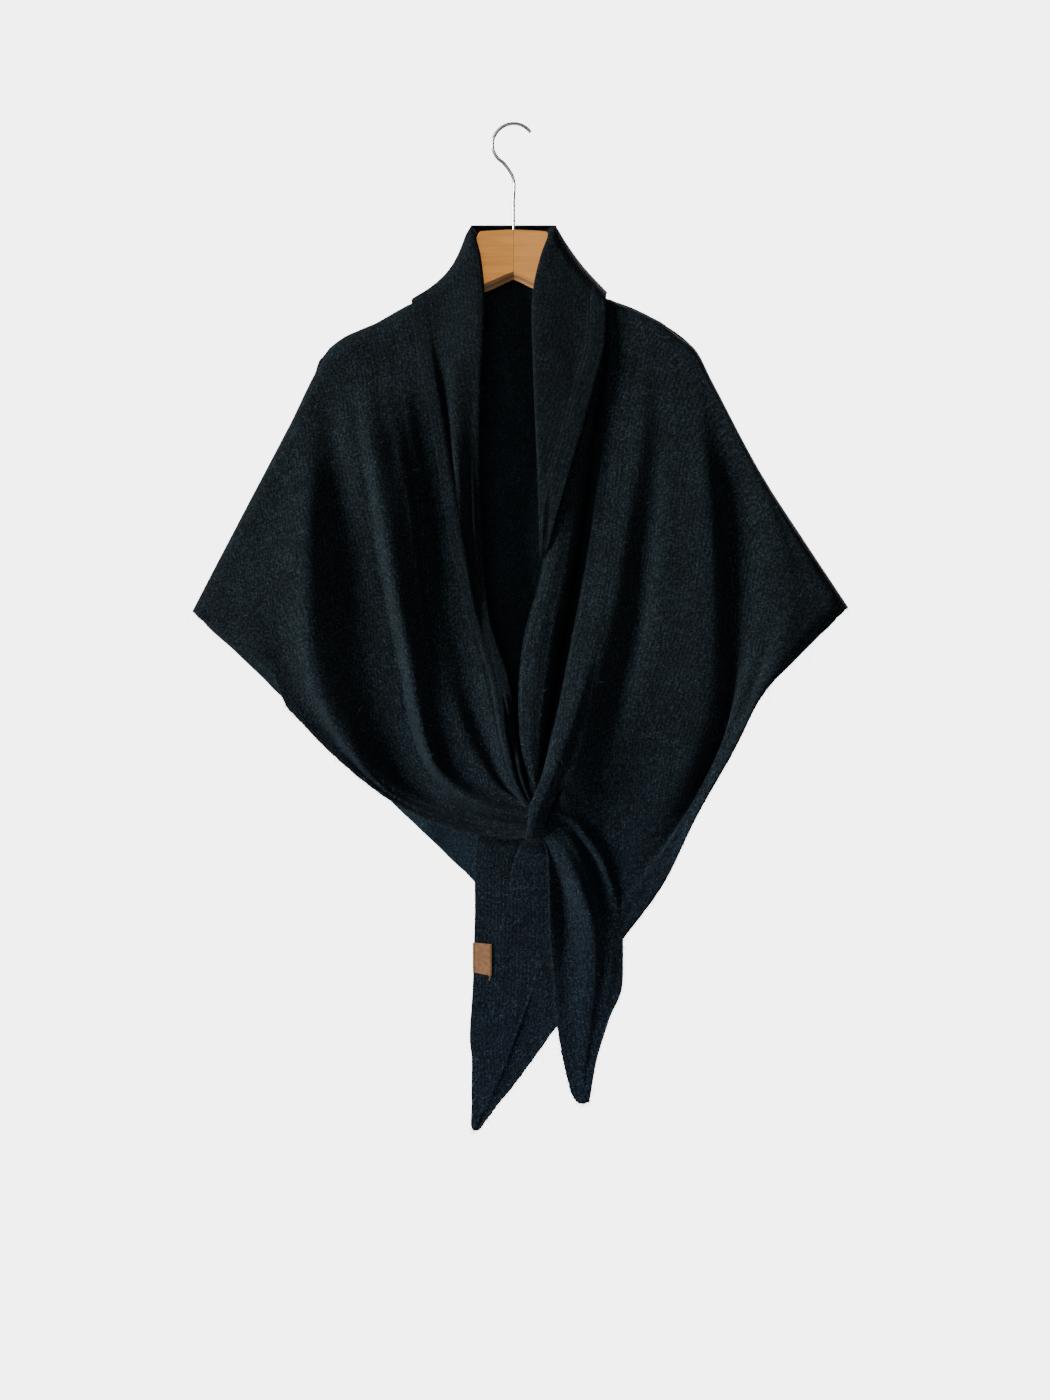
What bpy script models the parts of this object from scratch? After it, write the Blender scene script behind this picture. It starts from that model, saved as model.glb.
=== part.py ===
"""Knit triangle shawl hung on a wooden hanger, one end drawn through a slit in the other.

The shawl is one triangle of thick knit. Its long edge is turned out as a collar behind the neck and as
two lapels in front. The left corner is gathered, passes under a loop of the right half and falls as the
right tail. Left and right are the viewer's, looking along +Y at the front.

Tables are in millimetres. x runs to the viewer's right from the hanger's middle, drop runs down from the
hanger's top edge, and a lift is toward the viewer. The origin is the inside top of the hook.
"""
import math

import bmesh
import bpy
import numpy as np
from mathutils import Vector
from mathutils.bvhtree import BVHTree

MM = 0.001                  # metres in a millimetre
WALL = 2.2                  # thickness of the knit
GAP = 0.3                   # room between pieces that touch
HANGER_DROP = 115.0         # from the hook's inside top down to the hanger's top edge
HANGER_THICK = 13.0         # wood, front to back
HANGER_HALF = 190.0         # half of the hanger's width
HANGER_SWEEP = 14.0         # how far the arm ends stand forward of the neck
SWEEP_POWER = 1.6           # how the sweep grows along an arm
SWEEP_REACH = 1.1           # share of the arm's length past which the cloth sweeps no further
WIRE = 3.5                  # hook wire diameter
HOOK_RADIUS = 20.0          # inside radius of the hook
HOOK_NECK = 14.0            # from the round hook's lowest point down to where the shank is straight
HOOK_FOOT = 35.0            # length of the straight shank that needs no bend points
HANGER_EDGE = 2.5           # bevel of the hanger's long edges
HANGER_CLEAR = 2.6          # room between the wood and the cloth on it
ROLL = 14.0                 # length over which cloth turns over a shoulder or side fold
ROLL_OVER = 18.5            # the same for the lapels and collar, which lie over it
COLLAR_TURN = 10.0          # length over which the collar turns over the shoulder
COLLAR_SLANT = 0.75         # from a distance along x to one square to the slanting shoulder
COLLAR_TUCK = 0.5           # how far its top fold starts in front of the back's own plane
PROBE_TOP = 6.0             # drop from which the collar follows the back
PROBE_IN = 2.0              # how far inside the front's edge a roll reads the front's depth
PROBE_BELOW = 4.0           # how far below the shoulder's turn it reads it
COLLAR_ROLL = 5.0           # length over which the collar turns at its top fold
COLLAR_STEPS = [0.0, 0.02, 0.05, 0.1, 0.18]   # shares of the collar's depth round its top fold
SETTLE = 120.0              # length over which cloth leaves the hanger for its own plane
LIFT_RAMP = 90.0            # length over which folds grow below the crest
LIFT_START = 0.15           # how far along that growth they are at the crest itself
FRONT_PLANE = -30.0         # depth of the hanging fronts
BACK_PLANE = 9.0            # depth of the hanging back
KNOT_PLANE = -54.0          # depth of the gathered corner where it lies over the right front
CREST_GAP = 0.7             # from the crest to each of the two walls that meet there
STACK = WALL + 1.6          # step between cloth layers that lie on each other
NECK_HALF = 52.0            # half of the stretch of the back that hangs from the collar's fold
NECK_BLEND = 25.0           # from there to where the back turns over the shoulder

# Fold lines of the left front, from the V to the hem: lifts at the shoulder, midway and at the knot,
# then the line's path as (x, drop), from the shoulder or side fold to the knot.
LEFT_FRONT = [
    ("v_edge", (0, 2, 1),
     [(-48, 14), (-38, 61), (-42, 174), (-42, 277), (-32, 400), (-12, 464), (-5, 529), (13, 586)]),
    ("under_lapel", (0, 1, 1),
     [(-57, 36), (-58, 100), (-60, 174), (-56, 277), (-44, 392), (-24, 464), (-10, 530), (14, 591)]),
    ("lapel_base", (0, 0, 0),
     [(-83, 65), (-84, 120), (-76, 190), (-66, 277), (-54, 385), (-38, 463), (-19, 531), (14, 594)]),
    ("lapel_trough", (-1, -7, -1),
     [(-112, 79), (-105, 174), (-92, 248), (-79, 359), (-62, 462), (-37, 533), (14, 597)]),
    ("small_ridge", (1, 2, 1),
     [(-125, 88), (-114, 195), (-104, 298), (-91, 390), (-76, 468), (-46, 548), (14, 601)]),
    ("small_trough", (0, -4, -2),
     [(-146, 98), (-133, 205), (-120, 318), (-105, 421), (-91, 483), (-62, 560), (14, 604)]),
    ("main_ridge", (3, 12, 8),
     [(-174, 110), (-156, 249), (-131, 355), (-113, 455), (-100, 529), (-68, 574), (14, 608)]),
    ("ridge_side", (0, 1, 0),
     [(-197, 130), (-179, 256), (-160, 370), (-142, 473), (-121, 545), (-74, 588), (15, 613)]),
    ("outer_trough", (-2, -9, -6),
     [(-208, 159), (-193, 277), (-178, 405), (-152, 499), (-119, 561), (-72, 596), (15, 618)]),
    ("outer_ridge", (2, 5, 1),
     [(-249, 237), (-246, 339), (-225, 437), (-180, 519), (-122, 578), (-72, 606), (15, 622)]),
    ("hem", (0, 0, 0),
     [(-330, 392), (-268, 439), (-236, 486), (-189, 537), (-131, 584), (-78, 609), (-18, 623), (15, 625)]),
]

# Fold lines of the right front, from the V to the hem, ending at the line where it becomes the left tail.
RIGHT_FRONT = [
    ("v_edge", (0, 1, 0),
     [(50, 17), (28, 61), (28, 136), (33, 262), (30, 345), (17, 392), (8, 437), (6, 511), (12, 553), (14, 596)]),
    ("under_lapel", (0, 2, 1),
     [(64, 36), (52, 80), (50, 136), (46, 230), (36, 345), (23, 395), (13, 440), (10, 511), (16, 554), (17, 598)]),
    ("strip_ridge", (0, 6, 2),
     [(92, 69), (78, 174), (58, 277), (44, 345), (30, 398), (19, 442), (15, 511), (20, 555), (20, 600)]),
    ("strip_trough", (-1, -8, -1),
     [(104, 73), (91, 174), (70, 277), (59, 345), (46, 404), (35, 462), (27, 511), (27, 555), (26, 605)]),
    ("main_ridge", (2, 10, 1),
     [(115, 77), (104, 174), (94, 230), (87, 280), (77, 370), (56, 468), (43, 529), (37, 576), (34, 612)]),
    ("trough", (-2, -7, 0),
     [(146, 92), (137, 215), (141, 317), (136, 401), (118, 472), (92, 540), (64, 600), (48, 630)]),
    ("wide_ridge", (1, 6, 0),
     [(180, 116), (171, 217), (171, 380), (168, 483), (148, 560), (108, 627), (62, 656)]),
    ("outer_trough", (0, -5, 0),
     [(201, 150), (209, 205), (215, 277), (213, 354), (203, 462), (174, 557), (130, 636), (76, 685)]),
    ("outer_ridge", (2, 4, 0),
     [(254, 250), (274, 339), (255, 425), (228, 492), (192, 570), (146, 652), (85, 718)]),
    ("hem", (0, 0, 0),
     [(344, 388), (332, 400), (293, 436), (255, 481), (227, 535), (188, 604), (153, 675), (113, 729), (92, 757)]),
]

# Fold lines of the left tail, from its long edge to its hem, down to the tip. It carries on the right front.
LEFT_TAIL = [
    ("long_edge", (0, 1, 0),
     [(14, 596), (-14, 603), (-34, 614), (-39, 632), (-40, 706), (-42, 778), (-45, 832), (-42, 860), (-44, 920)]),
    ("edge_fold", (0, 2, 0), [(26, 605), (0, 640), (-17, 700), (-25, 785), (-32, 854), (-43, 924)]),
    ("edge_side", (0, 0, 0), [(34, 612), (14, 660), (-5, 725), (-16, 800), (-27, 864), (-42, 925)]),
    ("mid_trough", (0, -3, -1), [(48, 630), (27, 679), (6, 751), (-8, 813), (-23, 874), (-41, 926)]),
    ("mid_side", (0, 0, 0), [(62, 656), (44, 700), (20, 766), (1, 823), (-18, 880), (-40, 926)]),
    ("mid_ridge", (0, 3, 1), [(76, 685), (57, 725), (31, 782), (10, 832), (-14, 885), (-38, 926)]),
    ("hem_side", (0, 1, 0), [(85, 718), (69, 752), (39, 800), (17, 840), (-8, 886), (-37, 926)]),
    ("hem", (0, 0, 0), [(92, 757), (79, 777), (45, 819), (24, 848), (2, 878), (-22, 907), (-35, 926)]),
]

# Fold lines of the right tail, from its hem on the left to its long edge, out of the knot and down.
RIGHT_TAIL = [
    ("hem", (-2, 1, 1), [(23, 625), (32, 636), (36, 671), (37, 720), (41, 765), (45, 820), (57, 880), (62, 893)]),
    ("valley", (-4, -7, 0), [(24, 621), (39, 648), (46, 679), (50, 716), (54, 792), (63, 864), (66, 897)]),
    ("main_ridge", (4, 7, 1),
     [(25, 614), (41, 627), (56, 656), (65, 686), (67, 730), (69, 802), (71, 854), (70, 899)]),
    ("side_valley", (-3, -7, 0),
     [(26, 607), (50, 622), (74, 656), (87, 699), (90, 741), (86, 802), (79, 854), (73, 899)]),
    ("long_edge", (3, -1, 0),
     [(27, 594), (45, 597), (71, 617), (92, 641), (110, 699), (113, 751), (111, 783), (99, 811), (84, 853),
      (77, 898)]),
]

# The loop of the right front that holds the knot: its left and right sides, then its middle line's depth.
BAND_LEFT = [(15, 566), (19, 580), (17, 602), (14, 617), (8, 634), (0, 652)]
BAND_RIGHT = [(37, 566), (35, 582), (30, 602), (29, 617), (29, 634), (31, 652)]
BAND_DEPTH = [(0.0, -45), (0.22, -58), (0.42, -69), (0.66, -68), (0.84, -52), (1.0, -37)]
BAND_CROWN = 4.0            # how far the loop's middle stands out from its sides

# Depth of the tails along their length, as (share, depth).
LEFT_TAIL_PLANE = [(0, FRONT_PLANE), (0.4, -29), (1, -20)]
TAIL_START = 0.005          # share of the left tail left open at its seam with the right front
RIGHT_TAIL_PLANE = [(0, KNOT_PLANE), (0.35, -54), (0.7, -48), (1, -38)]

# Lapels, turned out along the V: the roll at the V, the middle, and the long edge that lies on the front.
LEFT_LAPEL = {
    "roll": [(-39, -2), (-31, 61), (-35, 174), (-35, 277), (-25, 400), (-5, 464), (3, 529), (8, 556)],
    "middle": [(-64, 38), (-63, 90), (-59, 174), (-51, 277), (-40, 392), (-22, 462), (-10, 525), (-1, 556)],
    "edge": [(-105, 71), (-98, 127), (-83, 205), (-66, 316), (-54, 392), (-40, 444), (-25, 499), (-9, 554)],
}
RIGHT_LAPEL = {
    "roll": [(37, -3), (21, 61), (21, 136), (26, 262), (27, 328)],
    "middle": [(68, 34), (57, 90), (52, 136), (44, 205), (36, 270), (31, 329)],
    "edge": [(95, 64), (93, 121), (84, 154), (70, 205), (56, 252), (40, 309), (34, 330)],
}
ROLL_OUT = 5.5              # how far the roll stands past the front's own edge, into the V
LAPEL_STAND = 5.5           # how far the roll holds the lapel off the front
LAPEL_FULL = 26.0           # width from which a lapel has its full roll
LAPEL_LEAST = 0.55          # smallest share of the roll, so that its two walls stay apart
LAPEL_SPAN = 3              # columns from the roll to the lapel's middle, and on to its edge
ROLL_PROFILE = [(-ROLL_OUT + GAP, 0.0), (-1.7, 0.1), (0.0, 0.5), (-1.7, 0.9), (-ROLL_OUT, 1.0)]
ROLL_FLAT = 1.5             # step between the roll's columns where it opens over the shoulder
ROLL_GROW = 28.0            # length over which the roll closes below the shoulder

# Lines of the back, from the left side fold to the right one: path from the collar or shoulder to the hem.
BACK = [
    ("left_side", (0, 0, 0), [(-208, 159), (-249, 237), (-290, 315), (-330, 392)]),
    ("left_roll", (0, 0, 0), [(-203, 145), (-214, 181), (-253, 265), (-320, 403)]),
    ("left_tip", (0, -2, -1), [(-197, 130), (-240, 300), (-288, 432)]),
    ("left_shoulder", (0, -3, -4), [(-174, 110), (-205, 320), (-236, 482)]),
    ("left_outer", (0, 2, 4), [(-146, 98), (-168, 340), (-180, 536)]),
    ("left_fold", (0, -2, -3), [(-112, 79), (-124, 350), (-128, 586)]),
    ("left_nape", (0, 2, 3), [(-83, 65), (-88, 350), (-90, 622)]),
    ("left_collar", (0, 0, -1), [(-50, 40), (-62, 340), (-62, 649)]),
    ("left_neck", (0, -2, -2), [(-40, 8), (-38, 340), (-32, 678)]),
    ("middle", (0, 2, 3), [(0, -1), (4, 360), (12, 720)]),
    ("right_neck", (0, -2, -2), [(41, 10), (46, 345), (48, 684)]),
    ("right_collar", (0, 0, -1), [(56, 40), (76, 345), (86, 646)]),
    ("right_nape", (0, 2, 3), [(92, 69), (106, 350), (120, 612)]),
    ("right_fold", (0, -2, -3), [(115, 77), (138, 350), (158, 574)]),
    ("right_outer", (0, 2, 4), [(146, 92), (178, 340), (204, 528)]),
    ("right_shoulder", (0, -3, -4), [(180, 116), (216, 320), (250, 482)]),
    ("right_tip", (0, -2, -1), [(193, 136), (244, 300), (302, 430)]),
    ("right_roll", (0, 0, 0), [(198, 145), (222, 199), (256, 272), (334, 398)]),
    ("right_side", (0, 0, 0), [(201, 150), (254, 250), (299, 320), (344, 388)]),
]

# Lines of the collar behind the neck, from the left shoulder to the right: fold, middle, long edge.
COLLAR = [
    [(-45, -5), (-60, 32), (-86, 61), (-103, 70)],
    [(-22, -5), (-34, 38), (-54, 80)],
    [(0, -5), (0, 39), (0, 82)],
    [(22, -5), (33, 37), (53, 79)],
    [(45, -5), (53, 14), (68, 33), (94, 61), (97, 64)],
]

# Hanger arm, from the middle out: x, drop of the top edge, drop of the underside.
ARM = [(0.15, 0, 49), (14, 0, 55), (31, 0, 64), (35, 1, 66), (38, 7, 68), (42, 20, 72), (52, 42, 78),
       (70, 57, 87), (84, 71, 95), (104, 83, 105), (143, 103, 124), (170, 121, 139), (184, 134, 147),
       (190, 142, 147)]

LABEL = (-42, -21, 732, 766)    # left, right, top and bottom of the bare patch
LABEL_THICK = 1.2


def clear_scene():
    for old in list(bpy.data.objects):
        bpy.data.objects.remove(old, do_unlink=True)


def material(name, colour, roughness, metallic=0.0):
    made = bpy.data.materials.new(name)
    made.use_nodes = True
    shader = made.node_tree.nodes["Principled BSDF"]
    shader.inputs["Base Color"].default_value = (*colour, 1.0)
    shader.inputs["Roughness"].default_value = roughness
    shader.inputs["Metallic"].default_value = metallic
    return made


def ease(value):
    """Smooth step from 0 to 1."""
    value = np.clip(value, 0.0, 1.0)
    return value * value * (3.0 - 2.0 * value)


def curve_through(path, per_span):
    """Points of a smooth curve through path, per_span of them from each point to the next."""
    path = np.array(path, float)
    chord = np.sqrt(np.linalg.norm(np.diff(path[:, :2], axis=0), axis=1)) + 1e-6
    knots = np.concatenate([[0.0], np.cumsum(chord)])
    slope = np.gradient(path, knots, axis=0)
    s = np.linspace(0, 1, per_span, endpoint=False)[:, None]
    pieces = []
    for i, width in enumerate(np.diff(knots)):
        pieces.append((2 * s**3 - 3 * s**2 + 1) * path[i] + (s**3 - 2 * s**2 + s) * width * slope[i]
                      + (3 * s**2 - 2 * s**3) * path[i + 1] + (s**3 - s**2) * width * slope[i + 1])
    return np.vstack(pieces + [path[-1:]])


def spline(path, steps):
    """The curve's points at the given shares of its length, and their distance from its start."""
    dense = curve_through(path, 24)
    length = np.concatenate([[0.0], np.cumsum(np.linalg.norm(np.diff(dense, axis=0), axis=1))])
    run = np.array(steps) * length[-1]
    points = np.stack([np.interp(run, length, dense[:, k]) for k in range(dense.shape[1])], axis=1)
    return points, run


def crest_steps(count):
    """Shares of a fold line: a few close together over the shoulder, then even ones."""
    start = [0.0, 0.006, 0.015, 0.03, 0.055]
    return start + list(np.linspace(0.085, 1.0, count - len(start)))


def hanger_depth(x):
    """Depth of the hanger's middle plane, whose arms sweep forward."""
    share = np.clip(np.abs(x) / HANGER_HALF, 0.0, SWEEP_REACH)
    return -HANGER_SWEEP * share**SWEEP_POWER


def quarter_turn(run, length):
    """Share of the way off the crest at a distance from it, round a quarter of an ellipse."""
    return np.sqrt(1.0 - (1.0 - np.clip(run / length, 0, 1))**2)


def spread(lines, steps, between):
    """Fold lines to a grid of x, drop, distance from the crest and lift, columns across."""
    tracks = []
    for name, lifts, path in lines:
        points, run = spline(path, steps)
        lift = np.interp(steps, [0.0, 0.5, 1.0], lifts) * ease(run / LIFT_RAMP + LIFT_START)
        tracks.append(np.column_stack([points, run, lift]))
    tracks = np.array(tracks)
    grid = np.stack([curve_through(tracks[:, j], between) for j in range(len(steps))], axis=1)
    for i in range(len(tracks) - 1):
        for k in range(between):
            grid[i * between + k, :, 3] = tracks[i, :, 3] + (tracks[i + 1, :, 3] - tracks[i, :, 3]) * ease(k / between)
    return grid


def to_world(x, depth, drop):
    return Vector((x * MM, depth * MM, -(HANGER_DROP + drop) * MM))


def closed_grid(name, points, finish):
    """An open sheet through a grid of (x, depth, drop) points, columns across and rows down."""
    across, down = points.shape[:2]
    bm = bmesh.new()
    bmesh.ops.create_grid(bm, x_segments=across - 1, y_segments=down - 1, size=0.5)
    for vert in bm.verts:
        i = round((vert.co.x + 0.5) * (across - 1))
        j = round((0.5 - vert.co.y) * (down - 1))
        vert.co = to_world(*points[i, j])
    bmesh.ops.remove_doubles(bm, verts=bm.verts, dist=0.00002)
    mesh = bpy.data.meshes.new(name)
    bm.to_mesh(mesh)
    bm.free()
    made = bpy.data.objects.new(name, mesh)
    bpy.context.collection.objects.link(made)
    mesh.materials.append(finish)
    mesh.shade_smooth()
    return made


def sheet(name, points, finish, thick=WALL):
    """A wall of cloth with its middle surface through a grid of points."""
    made = closed_grid(name, points, finish)
    wall = made.modifiers.new("wall", "SOLIDIFY")
    wall.thickness = thick * MM
    wall.offset = 0.0
    wall.use_quality_normals = True
    return made


def surface_tree(points):
    """A ray-cast tree of a grid's middle surface, in (x, depth, drop) millimetres."""
    across, down = points.shape[:2]
    verts = [Vector(p) for p in points.reshape(-1, 3)]
    faces = [(i * down + j, i * down + j + 1, (i + 1) * down + j + 1, (i + 1) * down + j)
             for i in range(across - 1) for j in range(down - 1)]
    return BVHTree.FromPolygons(verts, faces)


def depth_at(tree, x, drop):
    """Depth of the surface seen from the front at x and drop, or of its nearest point."""
    hit = tree.ray_cast(Vector((x, -300.0, drop)), Vector((0.0, 1.0, 0.0)))
    if hit[0] is not None:
        return hit[0].y
    return tree.find_nearest(Vector((x, FRONT_PLANE, drop)))[0].y


def fold_distance(x, drop):
    """Distance of a grid's points from the fold round its first row and its first and last columns."""
    grid = np.stack([x, drop], axis=-1)
    corners = np.vstack([grid[0, ::-1], grid[1:, 0], grid[-1, 1:]])
    fold = curve_through(corners, 20)
    return np.linalg.norm(grid[:, :, None] - fold, axis=-1).min(axis=-1)


def hung_points(lines, down, between, side, plane):
    """Grid of a panel that turns over the crest and hangs, side -1 in front and 1 behind."""
    grid = spread(lines, crest_steps(down), between)
    x, drop, run, lift = (grid[..., k] for k in range(4))
    crest = hanger_depth(x)
    start = crest + side * (HANGER_THICK / 2 + WALL / 2 + HANGER_CLEAR)
    flat = start + (plane - start) * ease(run / SETTLE)
    turn = quarter_turn(run, ROLL)
    if side > 0:
        turn = quarter_turn(fold_distance(x, drop), ROLL)
        straight = 1 - ease((np.abs(x[:, :1]) - NECK_HALF) / NECK_BLEND)
        turn = turn + (1 - turn) * straight
    depth = crest + side * CREST_GAP + (flat - side * CREST_GAP - crest) * turn - lift
    return np.stack([x, depth, drop], axis=-1)


def lean(points, start, goal):
    """Bring a panel's lower rows from their own plane toward goal, over its last stretch."""
    share = np.linspace(0, 1, points.shape[1])
    points[..., 1] += ease((share - start) / (1 - start))[None, :] * goal
    return points


def tail_points(lines, down, between, depths, start=0.0):
    """Grid of a free tail from a share of its length, its plane following (share, depth) pairs."""
    steps = np.linspace(start, 1, down)
    grid = spread(lines, steps, between)
    plane = np.interp(steps, [d[0] for d in depths], [d[1] for d in depths])
    return np.stack([grid[..., 0], plane[None, :] - grid[..., 3], grid[..., 1]], axis=-1)


def lapel_points(front, lapel, inward, down):
    """Grid of a lapel lying on a front, with the roll that turns it out of the V.

    inward is the direction from the front into the V, 1 or -1 along x.
    """
    tree = surface_tree(front)
    steps = crest_steps(down)
    roll, run = spline(lapel["roll"], steps)
    middle = spline(lapel["middle"], steps)[0]
    edge = spline(lapel["edge"], steps)[0]
    fold = len(ROLL_PROFILE)
    points = np.zeros((fold + 2 * LAPEL_SPAN, down, 3))
    for j in range(down):
        scale = np.clip(abs(edge[j, 0] - roll[j, 0]) / LAPEL_FULL, LAPEL_LEAST, 1.0)
        grown = ease(run[j] / ROLL_GROW)
        for i, (reach, stand) in enumerate(ROLL_PROFILE):
            open_reach = -ROLL_FLAT * i
            x = roll[j, 0] + inward * (open_reach + (reach * scale - open_reach) * grown)
            drop = roll[j, 1] + open_reach / 2 * (1 - grown)
            points[i, j] = (x, stand * LAPEL_STAND * scale * grown, drop)
        last = points[fold - 1, j]
        flat = curve_through([(last[0], last[2]), middle[j], edge[j]], LAPEL_SPAN)
        for i in range(1, len(flat)):
            settle = ease(i / (len(flat) - 1))
            points[fold + i - 1, j] = (flat[i, 0], last[1] * (1 - settle), flat[i, 1])
    turn = quarter_turn(run, ROLL_OVER)
    for i in range(points.shape[0]):
        for j in range(down):
            x, stand, drop = points[i, j]
            probe = x if i >= fold else roll[j, 0] - inward * (ROLL_OUT + PROBE_IN)
            under = depth_at(tree, probe, max(drop, points[i, 0, 2] + ROLL_OVER + PROBE_BELOW))
            flush = STACK * min(i, 2) / 2
            crest = hanger_depth(x) - CREST_GAP
            points[i, j, 1] = crest + (under - flush - stand - crest) * turn[j]
    return points


def collar_points(back, between, down):
    """Grid of the collar on the back, from its top fold to the long edge."""
    tree = surface_tree(back * [1, -1, 1])
    lines = [("", (0, 0, 0), path) for path in COLLAR]
    grid = spread(lines, COLLAR_STEPS + list(np.linspace(0.3, 1.0, down)), between)
    x, drop, run = grid[..., 0], grid[..., 1], grid[..., 2]
    from_crest = COLLAR_SLANT * np.minimum(np.abs(x - x[:1]), np.abs(x - x[-1:]))
    turn = quarter_turn(from_crest, COLLAR_TURN)
    top = quarter_turn(run, COLLAR_ROLL)
    crest = hanger_depth(x) + CREST_GAP
    inside = 1 - ROLL_OVER / np.maximum(np.abs(x), ROLL_OVER + 1)
    depth = np.zeros_like(x)
    for i, j in np.ndindex(x.shape):
        under = -depth_at(tree, x[i, j] * inside[i, j], max(drop[i, j], PROBE_TOP))
        behind = under - COLLAR_TUCK + (STACK + COLLAR_TUCK) * top[i, j]
        depth[i, j] = crest[i, j] + (behind - crest[i, j]) * turn[i, j]
    return np.stack([x, depth, drop], axis=-1)


def band_points(down):
    """Grid of the loop that crosses in front of the knot, rounded across."""
    steps = np.linspace(0, 1, down)
    left = spline(BAND_LEFT, steps)[0]
    right = spline(BAND_RIGHT, steps)[0]
    plane = spline([(d[0] * 100, d[1]) for d in BAND_DEPTH], np.linspace(0, 1, 60))[0]
    plane = np.interp(steps * 100, plane[:, 0], plane[:, 1])
    columns = []
    for share in np.linspace(0, 1, 7):
        crown = BAND_CROWN * math.sin(math.pi * share)
        place = left + (right - left) * share
        columns.append(np.stack([place[:, 0], plane - crown, place[:, 1]], axis=-1))
    return np.array(columns)


def label_points(tail):
    """Grid of the bare patch on the left tail, made from the tail's own surface moved out."""
    tree = surface_tree(tail)
    out = WALL / 2 + GAP + LABEL_THICK / 2
    left, right, top, bottom = LABEL
    rows = []
    for x in np.linspace(left, right, 5):
        rows.append([(x, depth_at(tree, x, drop) - out, drop) for drop in np.linspace(top, bottom, 7)])
    return np.array(rows)


def hanger_arm(name, side, wood):
    """Half of the hanger: a bevelled board whose outline follows ARM and whose depth sweeps forward."""
    half = HANGER_THICK / 2
    cut = HANGER_EDGE
    rings = []
    for x, top, under in curve_through(ARM, 2):
        at = hanger_depth(x)
        corner = min(cut, (under - top) / 4)
        rings.append([(side * x, at + dy, drop) for dy, drop in (
            (-half, top + corner), (-half + cut, top), (half - cut, top), (half, top + corner),
            (half, under - corner), (half - cut, under), (-half + cut, under), (-half, under - corner),
            (-half, top + corner))])
    made = closed_grid(name, np.array(rings), wood)
    bm = bmesh.new()
    bm.from_mesh(made.data)
    bmesh.ops.holes_fill(bm, edges=[edge for edge in bm.edges if edge.is_boundary], sides=0)
    bmesh.ops.recalc_face_normals(bm, faces=bm.faces)
    bm.to_mesh(made.data)
    bm.free()
    made.data.set_sharp_from_angle(angle=math.radians(35))
    return made


def hook(steel):
    """Bent wire: a straight shank, then a round hook open to one side."""
    turn = HOOK_RADIUS + WIRE / 2
    centre = -HOOK_RADIUS
    route = [(0.0, -HANGER_DROP + GAP), (0.0, -HANGER_DROP + HOOK_FOOT), (0.0, centre - turn - HOOK_NECK)]
    for degrees in range(-120, -325, -20):
        angle = math.radians(degrees)
        route.append((turn * math.cos(angle), centre + turn * math.sin(angle)))
    smooth = curve_through(route[1:], 3)
    curve = bpy.data.curves.new("hanger_hook", "CURVE")
    curve.dimensions = "3D"
    curve.bevel_depth = WIRE / 2 * MM
    curve.bevel_resolution = 2
    curve.resolution_u = 1
    curve.use_fill_caps = True
    line = curve.splines.new("POLY")
    line.points.add(len(smooth))
    for point, (x, z) in zip(line.points, [route[0], *smooth]):
        point.co = (x * MM, 0.0, z * MM, 1.0)
    made = bpy.data.objects.new("hanger_hook", curve)
    bpy.context.collection.objects.link(made)
    curve.materials.append(steel)
    return made


def make_cloth(knit):
    """The shawl's stretches, and the left tail's points for its label."""
    left = lean(hung_points(LEFT_FRONT, 32, 2, -1, FRONT_PLANE), 0.55, KNOT_PLANE - FRONT_PLANE)
    right = hung_points(RIGHT_FRONT, 34, 2, -1, FRONT_PLANE)
    left_tail = tail_points(LEFT_TAIL, 18, 2, LEFT_TAIL_PLANE, TAIL_START)
    sheet("left_front", left, knit)
    sheet("right_front", right, knit)
    back = hung_points(BACK, 17, 1, 1, BACK_PLANE)
    sheet("back_panel", back, knit)
    sheet("left_tail", left_tail, knit)
    sheet("right_tail", tail_points(RIGHT_TAIL, 22, 3, RIGHT_TAIL_PLANE), knit)
    sheet("left_lapel", lapel_points(left, LEFT_LAPEL, 1, 26), knit)
    sheet("right_lapel", lapel_points(right, RIGHT_LAPEL, -1, 20), knit)
    sheet("back_collar", collar_points(back, 3, 6), knit)
    sheet("loop_band", band_points(14), knit)
    return left_tail


def build():
    clear_scene()
    knit = material("knit", (0.012, 0.014, 0.016), 0.95)
    patch = material("label", (0.35, 0.17, 0.07), 0.6)
    wood = material("wood", (0.78, 0.60, 0.38), 0.45)
    steel = material("steel", (0.75, 0.75, 0.76), 0.2, 1.0)
    left_tail = make_cloth(knit)
    sheet("label_patch", label_points(left_tail), patch, LABEL_THICK)
    hanger_arm("hanger_arm_left", -1, wood)
    hanger_arm("hanger_arm_right", 1, wood)
    hook(steel)


build()
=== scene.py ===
import math
import random

import bmesh
import bpy
import numpy as np
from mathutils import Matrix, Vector, noise
from mathutils.bvhtree import BVHTree


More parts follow.
